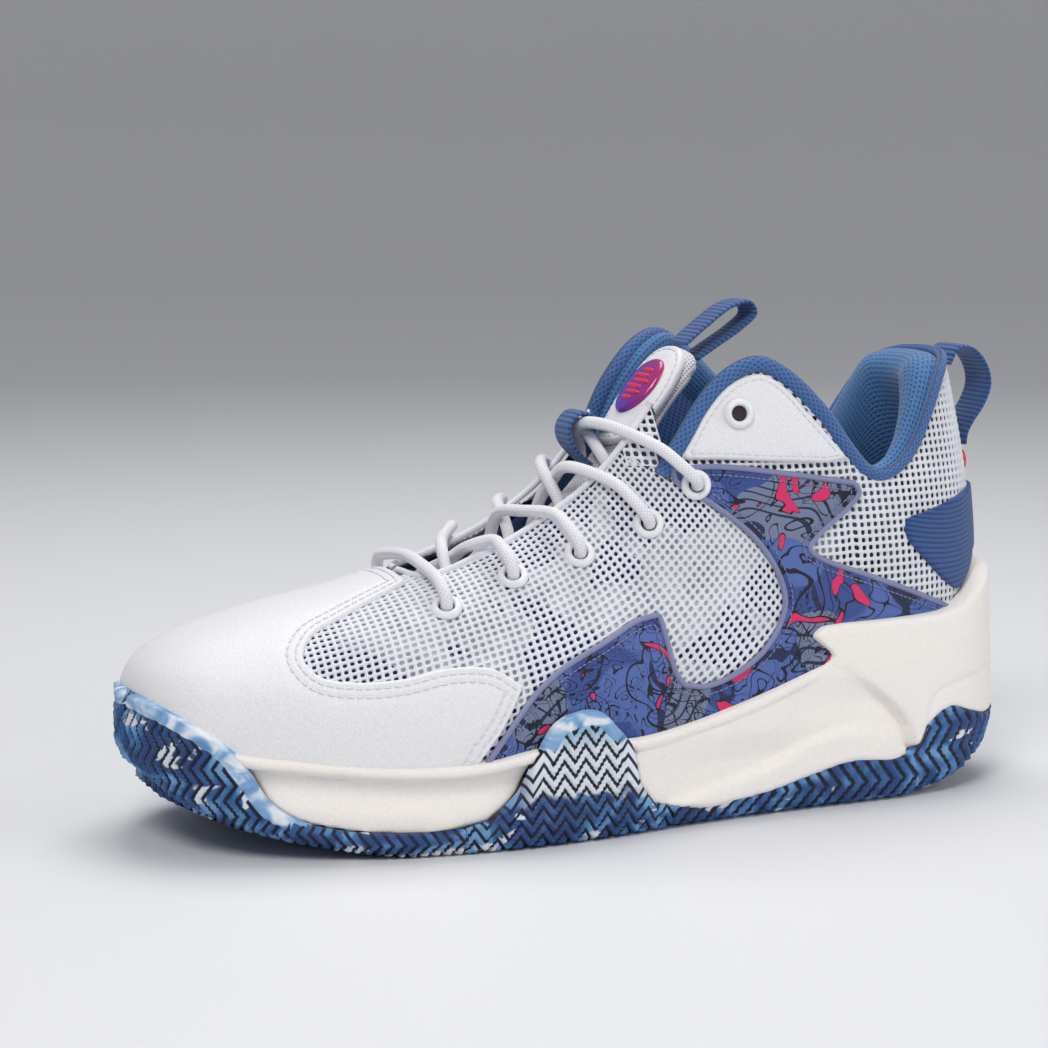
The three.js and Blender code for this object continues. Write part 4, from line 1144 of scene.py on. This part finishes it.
def print_panel(side):
    """The printed cloth of one side, with piping and stitches round what shows of it."""
    shown = np.vstack([joined(PRINT_INNER), joined(PRINT_OUTER)[1:]])
    loop = on_side(evenly(np.vstack([shown, np.array(PRINT_FOOT)]), 1.0, True), side)
    made = panel("print_" + side, upper, UPPER_SCALE, loop, (0.0, 0.95), PRINT, "printed_overlay",
                 rounding=0.5, gap=2.2)
    line = on_side(evenly(shown, 1.2), side)
    piping = tube("print_piping_" + side, upper(line[:, 0], line[:, 1], 0.75), 0.95, PIPING,
                  "printed_overlay", sides=10)
    for cover in (made, piping):
        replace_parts(cover, "print_panel_" + side)
    inner = inset_open(line, 2.6, 1 if side == "medial" else -1)
    stitches("print_stitching_" + side, stitch_rows(inner, 1.0), PIPING, "printed_overlay", pitch=1.9,
             length=1.5, radius=0.24)


def ankle_patch(side):
    """The leather patch on the ankle flap, with a row of stitches round it."""
    name, height, seam = "ankle_leather_" + side, 1.9, 2.0
    loop = on_side(evenly(joined(ANKLE_PATCH), 1.0, True), side)
    made = panel(name, upper, UPPER_SCALE, loop, (0.0, height), LEATHER, "white_leather", rounding=1.2,
                 relief=raised, rings=(1.3, seam, 2.7))
    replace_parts(made, "ankle_patch_" + side)
    line = inset_loop(upper, loop, seam)
    far = nearest(upper(line[:, 0], line[:, 1]), upper(loop[:, 0], loop[:, 1]))
    line = line[far > seam * 0.93]
    stitches(name + "_stitching", stitch_rows(np.vstack([line, line[:1]]), height - 0.25), THREAD,
             "white_textile")


def back_section(z):
    """The section whose heel point is at a height."""
    return halved(np.full(np.shape(z), 8.0), np.full(np.shape(z), 13.0),
                  lambda section: bare(section, np.full(np.shape(z), 180.0))[..., 2] < z)


def heel_patch():
    """The ribbed cloth that wraps the heel above the midsole."""
    top, foot = (evenly(smooth(line), 1.0) for line in (HEEL_PATCH_TOP, HEEL_PATCH_FOOT))
    over = {side: on_side(top, side, True) for side in SIDES}
    under = {side: on_side(foot, side, True) for side in SIDES}
    top_back, foot_back = back_section(np.array([100.0]))[0], back_section(np.array([79.0]))[0]

    def bridge(a, b, section):
        t = np.linspace(0, 1, 24)[1:-1]
        angle = a[1] + (b[1] - a[1]) * t
        ends = a[0] + (b[0] - a[0]) * t
        lift = section - (a[0] + b[0]) / 2
        return np.stack([ends + lift * np.sin(math.pi * t) ** 0.5, angle], 1)

    loop = np.vstack([
        over["lateral"], bridge(over["lateral"][-1], over["medial"][-1], top_back), over["medial"][::-1],
        under["medial"][::-1], bridge(under["medial"][0], under["lateral"][0], foot_back), under["lateral"]])
    here = upper(loop[:, 0], loop[:, 1])
    keep = np.r_[True, np.linalg.norm(np.diff(here, axis=0), axis=1) > 0.25]
    made = panel("heel_cloth", upper, UPPER_SCALE, loop[keep], (0.0, 1.6), HEEL_CLOTH, "heel_rubber")
    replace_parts(made, "heel_patch")


def collar_line():
    """The collar's edge from the throat on the outer side, round the heel, to the throat again."""
    gap = 1.2
    lateral, medial = (on_side(evenly(joined([COLLAR_LINE[side]]), gap), side, True) for side in SIDES)
    angle = np.linspace(lateral[-1, 1], medial[-1, 1], 9)[1:-1]
    section = np.interp(angle, [medial[-1, 1], -180, lateral[-1, 1]], [medial[-1, 0], 12.6, lateral[-1, 0]])
    line = np.vstack([lateral, np.stack([section, angle], 1), medial[::-1]])
    step = walked(upper(line[:, 0], line[:, 1]))
    at = np.linspace(0, step[-1], int(step[-1] / gap))
    even = np.stack([np.interp(at, step, line[:, k]) for k in (0, 1)], 1)
    behind = (np.abs(even[:, 1] + 180) < 62)[:, None]
    return np.where(behind, softened(even, 14), even)


def softened(rows, times):
    """Rows of numbers evened out with their neighbours, with the ends kept."""
    rows = rows.copy()
    for _ in range(times):
        rows[1:-1] = (rows[:-2] + 2 * rows[1:-1] + rows[2:]) / 4
    return rows


def collar():
    """The padded roll, and the braided binding along its edge."""
    line = collar_line()
    n = len(line)
    points = upper(line[:, 0], line[:, 1])
    behind = np.clip((points[:, 0] - 88) / 34, 0, 1)
    depth = 15 + 33 * behind ** 1.2
    thick = 7.5 + 8.0 * behind
    down = np.empty((n, 2))
    level = np.array([-1 / 34.0, 0.0])
    for k, (x, _, z) in enumerate(points):
        side = "lateral" if line[k, 1] > -180 else "medial"
        here, low = on_side([(x, z), (x, z - 12)], side, True)
        weight = np.clip((x - 108) / 12, 0, 1)
        down[k] = (low - here) / 12 * (1 - weight) + level * weight
    down = softened(down, 20)
    profile = np.array([
        (0.02, -0.12), (-0.03, -0.2), (-0.07, -0.34), (-0.085, -0.5), (-0.075, -0.66), (-0.04, -0.82),
        (0.02, -0.93), (0.1, -1.0), (0.2, -1.02), (0.32, -1.0), (0.45, -0.94), (0.58, -0.85), (0.7, -0.72),
        (0.82, -0.56), (0.92, -0.4), (1.0, -0.28)])
    rows = []
    for share, offset in profile:
        reach = share * (depth if share > 0 else 34 + 30 * behind)
        at = line + down * reach[:, None]
        rows.append(upper(at[:, 0], at[:, 1], offset * thick - 0.4))
    solid = np.stack(rows, 1)
    m = len(profile)
    uv = np.stack([np.repeat(walked(solid[:, 5]), m), walked(solid).ravel()], 1) / 10
    pad = piece("collar_roll", solid.reshape(-1, 3), grid_faces(n, m)[:, ::-1], KNIT, "blue_textile", uv=uv)
    pinned = [k * m + j for k in range(n) for j in range(m) if k in (0, n - 1) or j in (0, m - 1)]
    inflate(pad, pinned, 0.0035)
    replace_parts(pad, "collar_padding")
    radius = np.interp(points[:, 0], [0, 70, 96, 130], [2.9, 2.7, 2.0, 1.7])
    edge = upper(line[:, 0], line[:, 1], -0.6)
    bound = tube("collar_braid", edge, radius, BINDING, "blue_textile", sides=16)
    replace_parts(bound, "collar_binding")


def inflate(pad, pinned, most):
    """Swells a cushion with a short cloth simulation, and keeps the shape."""
    mesh, scene = pad.data, bpy.context.scene
    pad.vertex_groups.new(name="pin").add([int(k) for k in pinned], 1.0, "REPLACE")
    cloth = pad.modifiers.new("cloth", "CLOTH")
    cloth.settings.use_pressure = True
    cloth.settings.uniform_pressure_force = 4.0
    cloth.settings.vertex_group_mass = "pin"
    cloth.settings.effector_weights.gravity = 0.0
    cloth.settings.quality = 5
    for frame_number in range(1, 21):
        scene.frame_set(frame_number)
    grown = pad.evaluated_get(bpy.context.evaluated_depsgraph_get()).to_mesh()
    start, end = (np.empty(len(mesh.vertices) * 3, np.float32) for _ in range(2))
    mesh.vertices.foreach_get("co", start)
    grown.vertices.foreach_get("co", end)
    move = (end - start).reshape(-1, 3)
    length = np.linalg.norm(move, axis=1, keepdims=True)
    move *= np.minimum(1, most / np.maximum(length, 1e-9))
    pad.modifiers.remove(cloth)
    scene.frame_set(1)
    mesh.vertices.foreach_set("co", (start.reshape(-1, 3) + move).ravel())
    mesh.update()


# ------------------------------------------------------------------ the nets


KNOT = 2.25  # the quarter net's pitch down from the ridge
HEEL_KNOT = 2.6  # the heel net's pitch round the ankle


def wing_net(side):
    """Rows at even sections over the forefoot and quarter, in steps of length down from the ridge."""
    sign = SIDES[side]
    sections = np.arange(3.2, 10.2, 0.082)
    fine = np.linspace(0, 170, 171)
    s, a = np.meshgrid(sections, fine, indexing="ij")
    run = walked(bare(s, sign * a))
    angle = np.array([np.interp(np.arange(8, 116, KNOT), row, fine) for row in run])
    s = np.broadcast_to(sections[:, None], angle.shape)
    return upper(s, sign * angle, 0.05), outward(s, sign * angle)


def heel_net():
    """Rows at even heights round the ankle and heel, in steps of level length from the heel's middle."""
    heights = np.arange(22, 152, 2.5)
    angles = np.linspace(-20, -340, 321)
    shape = (len(heights), len(angles))
    around = np.broadcast_to(angles, shape)
    section = halved(np.full(shape, 5.0), np.full(shape, 13.0),
                     lambda at: bare(at, around)[..., 2] < heights[:, None])
    run = walked(bare(section, around))
    run -= run[:, [160]]
    wanted = np.arange(-169, 169, HEEL_KNOT)
    s = np.array([np.interp(wanted, length, row) for length, row in zip(run, section)])
    a = np.array([np.interp(wanted, length, angles) for length in run])
    return upper(s, a, 0.05), outward(s, a)


def middles(corners):
    """The middle of each cell of a lattice, as one list of points."""
    return ((corners[:-1, :-1] + corners[1:, :-1] + corners[:-1, 1:] + corners[1:, 1:]) / 4).reshape(-1, 3)


def kept_net(name, corners, normals, keep, hole, node):
    """A net of the kept cells, standing for one node."""
    cells = keep.reshape(len(corners) - 1, -1)
    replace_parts(net(name, corners, normals, cells, hole, NET, "white_textile"), node)


def nets():
    """The quarters' nets and the heel's, each left out where something covers it."""
    ahead = [(-70, 115), (-120, 60), (-120, 10)]
    for side, sign in SIDES.items():
        corners, normals = wing_net(side)
        flat = middles(corners)
        elevation = flat[:, [0, 2]]
        beside_throat = np.abs(flat[:, 1]) > throat_half(flat[:, 0]) + 0.6
        keep = beside_throat & (flat[:, 1] * sign > 0) | (flat[:, 0] < -61)
        keep &= ~hidden_by(elevation) & ~over_collar(elevation, side) & (flat[:, 2] > 28)
        keep &= inside(elevation, np.vstack([joined(PRINT_INNER), [(8, 115)], ahead]))
        kept_net("net_" + side, corners, normals, keep, 0.68, "quarter_mesh_" + side)
    corners, normals = heel_net()
    flat = middles(corners)
    elevation = flat[:, [0, 2]]
    keep = (flat[:, 2] > 40) & (flat[:, 0] > 8) & ~in_throat(flat)
    for side, sign in SIDES.items():
        front = np.vstack([joined(PRINT_INNER), [(21, 112), COLLAR_LINE[side][0], (5, 115)], ahead])
        covered = hidden_by(elevation) | over_collar(elevation, side) | inside(elevation, front)
        keep &= ~((flat[:, 1] * sign > 0) & covered)
    kept_net("net_heel", corners, normals, keep, 0.72, "heel_mesh")


# ------------------------------------------------------------------ tongue, loops, eyelets and lace

TONGUE_LIFT = -9.4


def on_tongue(section, y, lift):
    """Points over the tongue's face, by section, distance across and height."""
    section, y = np.broadcast_arrays(np.asarray(section, float), np.asarray(y, float))
    return upper(section, angle_of_width(section, y), TONGUE_LIFT + np.asarray(lift, float))


def tongue():
    """The padded tongue, thin under the laces and thick above them."""
    s = np.r_[4.42, np.linspace(4.45, 10.2, 90), 10.27, 10.3]
    half = np.interp(s, [4, 6, 8, 8.4, 9.7, 10.1, 10.27, 10.3], [21, 23, 22.5, 21.5, 21.5, 19.5, 15, 12])
    thick = np.interp(s, [4, 8, 8.6, 9.8, 10.2, 10.3], [2.8, 2.8, 6, 6.4, 5, 2])
    turn = np.linspace(0, 2 * math.pi, 56, endpoint=False)
    c, w = np.cos(turn), np.sin(turn)
    y, z = rounded(c, 0.55), rounded(w, 0.75)
    crown = 1.2 * (1 - y ** 2) * np.clip((s - 8) / 0.8, 0, 1)[:, None]
    lift = (z[None] - 1) * thick[:, None] / 2 + crown * (z[None] > 0)
    points = on_tongue(s[:, None], half[:, None] * y[None], lift)
    n, m = len(s), len(turn)
    uv = np.stack([np.repeat(s * 2.5, m), (half[:, None] * y[None]).ravel() / 10], 1)
    made = piece("tongue_body", points.reshape(-1, 3), capped(n, m), TONGUE_CLOTH, "white_textile",
                 body=None, uv=uv)
    hinge = on_tongue(8.1, 0.0, 0.0)
    ahead = unit(on_tongue(8.6, 0.0, 0.0) - hinge)
    place(hinge - ahead * 7).tolist()
    place(hinge + ahead * 7).tolist()
    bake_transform(made)
    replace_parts(made, "tongue_lower", "tongue_pad")


def tongue_plate(name, span, lifts, half, power, material, slot, body, relief=None, rings=(), rounding=0.7,
                 gap=1.2):
    """A flat piece on the tongue, with an outline between an oval and a rectangle, by section and y."""
    turn = np.linspace(0, 2 * math.pi, 120, endpoint=False)
    c, w = np.cos(turn), np.sin(turn)
    middle, reach = (span[0] + span[1]) / 2, (span[1] - span[0]) / 2
    loop = np.stack([middle + rounded(c, 2 / power) * reach, rounded(w, 2 / power) * half], 1)

    def surface(p, q):
        return on_tongue(p, q - (3.5 if body == "tongue" else 0.0), 0.9)

    made = panel(name, surface, np.array([25.0, 1.0]), loop, lifts, material, slot, rounding=rounding,
                 gap=gap, relief=relief, rings=rings)
    if body != "shoe":
        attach(made, body)
    return made, surface, loop


MARKS = [(8.82, 0.6, 3.6), (8.96, -0.8, 5.4), (9.10, 1.2, 5.8), (9.24, -0.8, 5.8), (9.38, 1.0, 5.4),
         (9.52, -0.6, 3.6)]  # section, shift across and half width of each raised bar


def badges():
    """The tongue's patch, medal and raised bars, the bar at the throat's foot and the heel's red oval."""
    patch, surface, loop = tongue_plate("tongue_patch", (7.9, 10.3), (-0.6, 1.7), 17.0, 2.2, LEATHER,
                                        "white_leather", "tongue", relief=raised, rings=(1.3, 2.0, 2.7),
                                        rounding=1.1)
    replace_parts(patch, "tongue_badge_patch")
    line = inset_loop(surface, loop, 2.0)
    line = np.vstack([line, line[:1]])
    points = surface(line[:, 0], line[:, 1])
    normals = facing(surface, line)
    stitches("tongue_patch_stitching", [(points + normals * 1.5, normals)], THREAD, "white_textile",
             body="tongue")
    made = tongue_plate("tongue_medal", (8.48, 9.86), (1.2, 2.9), 10.6, 2.0, BADGE, "badge", "tongue",
                        rounding=1.2)[0]
    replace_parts(made, "tongue_badge")
    for k, (mid, shift, width) in enumerate(MARKS):
        mark = tongue_plate(f"tongue_mark_{k}", (mid - 0.05, mid + 0.05), (2.6, 3.3), width, 2.6, FLAME,
                            "badge", "tongue", rounding=0.5, gap=1.0)[0]
        for vertex in mark.data.vertices:
            vertex.co.y += shift * 0.001
        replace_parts(mark, "tongue_badge")
    tab = tongue_plate("throat_bar", (4.42, 5.0), (-1.0, 2.0), 12.5, 5, TAB, "grey_textile", "shoe",
                       rounding=1.0)[0]
    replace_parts(tab, "throat_tab")
    turn = np.linspace(0, 2 * math.pi, 80, False)
    oval = np.stack([back_section(np.full(80, 106.4)) + 4.4 / 34 * np.cos(turn), -180 + 17.0 * np.sin(turn)],
                    1)
    made = panel("heel_medal", upper, UPPER_SCALE, oval[::-1], (0.0, 1.6), HEEL_RED, "badge", rounding=0.8,
                 gap=1.2)
    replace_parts(made, "heel_badge")


def webbing(name, points, width, thickness, body, node):
    """Flat webbing along a line in the plane y = 0, with rounded edges."""
    line = evenly(smooth([(x, 0, z) for x, z in points], 16), 0.9)
    across = np.broadcast_to([0.0, 1.0, 0.0], line.shape)
    normal = unit(np.cross(unit(np.gradient(line, axis=0)), across))
    n, m = len(line), 28
    turn = np.linspace(0, 2 * math.pi, m, endpoint=False)
    y = rounded(np.cos(turn), 0.35) * (width / 2)
    z = rounded(np.sin(turn), 0.7) * thickness / 2
    solid = line[:, None] + across[:, None] * y[None, :, None] + normal[:, None] * z[None, :, None]
    uv = np.stack([np.repeat(walked(line) / 10, m), np.tile(y / 10, n)], 1)
    made = piece(name, solid.reshape(-1, 3), capped(n, m), WEBBING, "blue_webbing", body=body, uv=uv)
    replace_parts(made, node)


HEEL_LOOP = [(134.5, 139.5), (138, 145), (143.5, 144.5), (148.5, 139.5), (150.5, 132.5), (148, 125.5),
             (144, 120), (141.8, 116), (141.2, 112)]
TONGUE_LOOP = [(36.4, 148.6), (44.5, 155), (53, 160.6), (59.5, 161.8), (61.5, 158.2), (56.5, 153.5),
               (48, 148.2), (40.8, 143.8)]
KEEPER = [(-0.36, -8.7), (-0.36, -4), (-0.3, 2), (-0.16, 5), (0, 5.6), (0.13, 5), (0.23, 2), (0.25, -4),
          (0.25, -8.7)]
LACE_UNDER = -7.9
LACE_RADIUS = 1.95
AGLET_RADIUS = 1.5
EYELET_SIDES = 40


def eyelet_site(row, side):
    """The section and angle of an eyelet, counted from the toe."""
    section, turn = on_side([EYELET_ROWS[row]], "lateral")[0]
    return section, abs(turn) * SIDES[side]


def eyelets():
    """The rings of both rows, each with a dark disc of painted shade across its bore."""
    profile = [(2.5, -4.0), (2.5, 0.6), (2.6, 1.1), (2.9, 1.6), (3.4, 1.85), (3.9, 1.75), (4.5, 1.2),
               (4.8, 0.6), (4.85, 0.1)]
    turn = np.linspace(0, 2 * math.pi, EYELET_SIDES, endpoint=False)
    for side in SIDES:
        for row in range(len(EYELET_ROWS)):
            section, angle = eyelet_site(row, side)
            middle, axis = upper(section, angle), outward(section, angle)
            lift = 1.9 if row >= LACED_ROWS else 0.9 if row == LACED_ROWS - 1 else 0.1
            one = unit(np.cross(axis, [0.0, 0.0, 1.0]))
            two = np.cross(axis, one)
            rim = np.cos(turn)[:, None] * one + np.sin(turn)[:, None] * two
            points = np.concatenate([middle + rim * r + axis * (z + lift) for r, z in profile])
            made = piece(f"ring_{side}_{row + 1}", points, grid_faces(len(profile), EYELET_SIDES, True),
                         RING, "eyelet_plastic")
            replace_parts(made, f"eyelet_{side}_{row + 1}")
            # a dark disc across the bore: painted shade for the shadow inside the hole
            disc = middle + rim * 2.6 + axis * (lift + 0.25)
            piece(f"bore_shade_{side}_{row + 1}", disc, [tuple(range(EYELET_SIDES))], BORE_SHADE, "eyelet_plastic",
                  flat=True)


def lace():
    """One lace, zig-zagging up the throat from its bar at the toe, with both ends tucked in."""
    other = {"lateral": "medial", "medial": "lateral"}

    def into_eyelet(row, side):
        section, angle = eyelet_site(row, side)
        over = 1.5 if row >= LACED_ROWS - 1 else 0.0
        steps = [(14, 4.8 + over), (7.5, 6 + over), (2, 4.9 + over), (0, 2.2 + over), (0, -3), (0.8, -6.6)]
        return [upper(section, angle - SIDES[side] * turn, height) for turn, height in steps]

    def crossing(row, side, over):
        (start, angle), (end, _) = eyelet_site(row, side), eyelet_site(row + 1, other[side])
        sign = np.sign(angle)
        steps = [(0.08, sign * (abs(angle) - 9), LACE_UNDER), (0.28, sign * 15, -5.8),
                 (0.5, 0, 1.2 if over else -3.6), (0.72, -sign * 13, 2.2)]
        return [upper(start + (end - start) * t, turn, height) for t, turn, height in steps]

    def half(start):
        points, side = into_eyelet(0, start), start
        for row in range(LACED_ROWS - 1):
            points += crossing(row, side, start == "lateral")
            side = other[side]
            points += into_eyelet(row + 1, side)
        section, angle = eyelet_site(LACED_ROWS - 1, side)
        return points + [upper(section + 0.05 * (k + 1), angle + SIDES[side] * turn, LACE_UNDER)
                         for k, turn in enumerate((6, 12, 20, 30, 40))]

    bar = [upper(eyelet_site(0, "lateral")[0], 0.0, 3.2)]
    line = evenly(smooth(half("lateral")[::-1] + bar + half("medial"), 10), 0.8)
    made = tube("lace_cord", line, LACE_RADIUS, LACE, "lace_cord")
    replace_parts(made, "lace")
    for side in SIDES:
        section, angle = eyelet_site(LACED_ROWS - 1, side)
        points = [upper(section + 0.26, angle + SIDES[side] * turn, LACE_UNDER) for turn in (44, 52, 61, 70)]
        made = tube("lace_tip_" + side, evenly(smooth(points), 0.8), AGLET_RADIUS, PLASTIC, "lace_cord",
                    sides=12)
        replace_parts(made, "lace_aglet_" + side)


def throat_hem():
    """The rolled hems along the throat."""
    for side in SIDES:
        edge = throat_edge(side)
        made = tube("throat_hem_" + side, upper(edge[:, 0], edge[:, 1], 0.1), 1.1, NET, "white_textile",
                    sides=10)
        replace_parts(made, "quarter_mesh_" + side)


def insides():
    """The cloth under the nets, the lining and the sockliner."""
    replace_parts(skin("under_cloth", -0.75, CAMO, "white_textile"), "heel_mesh")
    made = skin("foot_lining", -3.2, INSIDE, "blue_textile")
    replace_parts(made, "lining")
    s = np.linspace(1.0, 10.2, 90)
    left, right = upper(s, -122.0, -4.4), upper(s, 122.0, -4.4)
    t = np.linspace(0, 1, 24)
    points = left[:, None] + (right - left)[:, None] * t[None, :, None]
    points[..., 2] -= (1.5 * np.sin(math.pi * t))[None]
    points[..., 2] = np.minimum(points[..., 2], 40)
    made = piece("insole", points.reshape(-1, 3), grid_faces(90, 24), INSIDE, "blue_textile",
                 uv=points.reshape(-1, 3)[:, :2] / 10)
    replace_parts(made, "sockliner")


def hidden_parts():
    """Plain looks for the stiffeners that keep their drawing's shape."""
    for name, material in (("strobel_board", BOARD), ("shank_plate", PLASTIC), ("toe_puff", BOARD),
                           ("heel_counter", PLASTIC)):
        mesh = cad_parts[name].data
        mesh.materials.clear()
        mesh.materials.append(material)


# ------------------------------------------------------------------ the whole shoe

midsole()
sidewall_rubber()
tread()
insides()
vamp()
for wearing in SIDES:
    print_panel(wearing)
    ankle_patch(wearing)
heel_patch()
collar()
nets()
throat_hem()
tongue()
badges()
webbing("heel_webbing", HEEL_LOOP, 16, 1.5, "shoe", "heel_pull_loop")
webbing("tongue_webbing", TONGUE_LOOP, 13, 1.5, "tongue_loop", "tongue_pull_loop")
crossing_at = (eyelet_site(3, "lateral")[0] + eyelet_site(4, "lateral")[0]) / 2
keeper = [upper(crossing_at + step, 0.0, height) for step, height in KEEPER]
webbing("keeper_webbing", [(p[0], p[2]) for p in keeper], 12, 1.4, "shoe", "lace_keeper")
eyelets()
lace()
hidden_parts()

# ------------------------------------------------------------------ the studio


def studio():
    """A seamless floor, three soft lights and the camera."""
    scene = bpy.context.scene
    profile = [(0.0, 0.0), (1.8, 0.0), (2.4, 0.06), (2.9, 0.28), (3.2, 0.7), (3.3, 1.3), (3.3, 2.6)]
    turn = np.linspace(0, 2 * math.pi, 64, endpoint=False)
    rows = [(r * math.cos(t), r * math.sin(t), z) for r, z in profile for t in turn]
    mesh = bpy.data.meshes.new("floor")
    mesh.from_pydata(rows, [], [tuple(int(k) for k in f) for f in grid_faces(len(profile), 64, True)])
    mesh.polygons.foreach_set("use_smooth", np.ones(len(mesh.polygons), bool))
    floor = bpy.data.objects.new("floor", mesh)
    scene.collection.objects.link(floor)
    look = Look("floor", 0.6)
    floor.data.materials.append(look.colour(srgb(226, 227, 230)).material)
    world = bpy.data.worlds.new("studio")
    world.use_nodes = True
    world.node_tree.nodes["Background"].inputs[0].default_value = (0.98, 0.98, 1.0, 1)
    world.node_tree.nodes["Background"].inputs[1].default_value = 0.30
    scene.world = world
    for name, where, size, power, colour in (
            ("key", (-0.75, -0.9, 1.25), 0.6, 12, (1.0, 0.98, 0.95)),
            ("fill", (0.9, -0.9, 0.6), 0.9, 5.5, (0.97, 0.98, 1.0)),
            ("top", (0.15, 0.35, 1.2), 0.8, 8, (1.0, 1.0, 1.0))):
        light = bpy.data.lights.new(name, "AREA")
        light.size, light.energy, light.color = size, power, colour
        lamp = bpy.data.objects.new(name, light)
        lamp.location = where
        lamp.rotation_euler = (Vector((0, 0, 0.06)) - Vector(where)).to_track_quat("-Z", "Y").to_euler()
        scene.collection.objects.link(lamp)
    camera = bpy.data.cameras.new("camera")
    camera.lens, camera.sensor_width = 90.5, 36.0
    eye = bpy.data.objects.new("camera", camera)
    eye.location = (-0.3389, -0.7720, 0.2045)
    aim = Vector((-0.0194, 0.0029, 0.0919)) - eye.location
    eye.rotation_euler = aim.to_track_quat("-Z", "Y").to_euler()
    scene.collection.objects.link(eye)
    scene.camera = eye
    scene.view_settings.view_transform = "Standard"


studio()
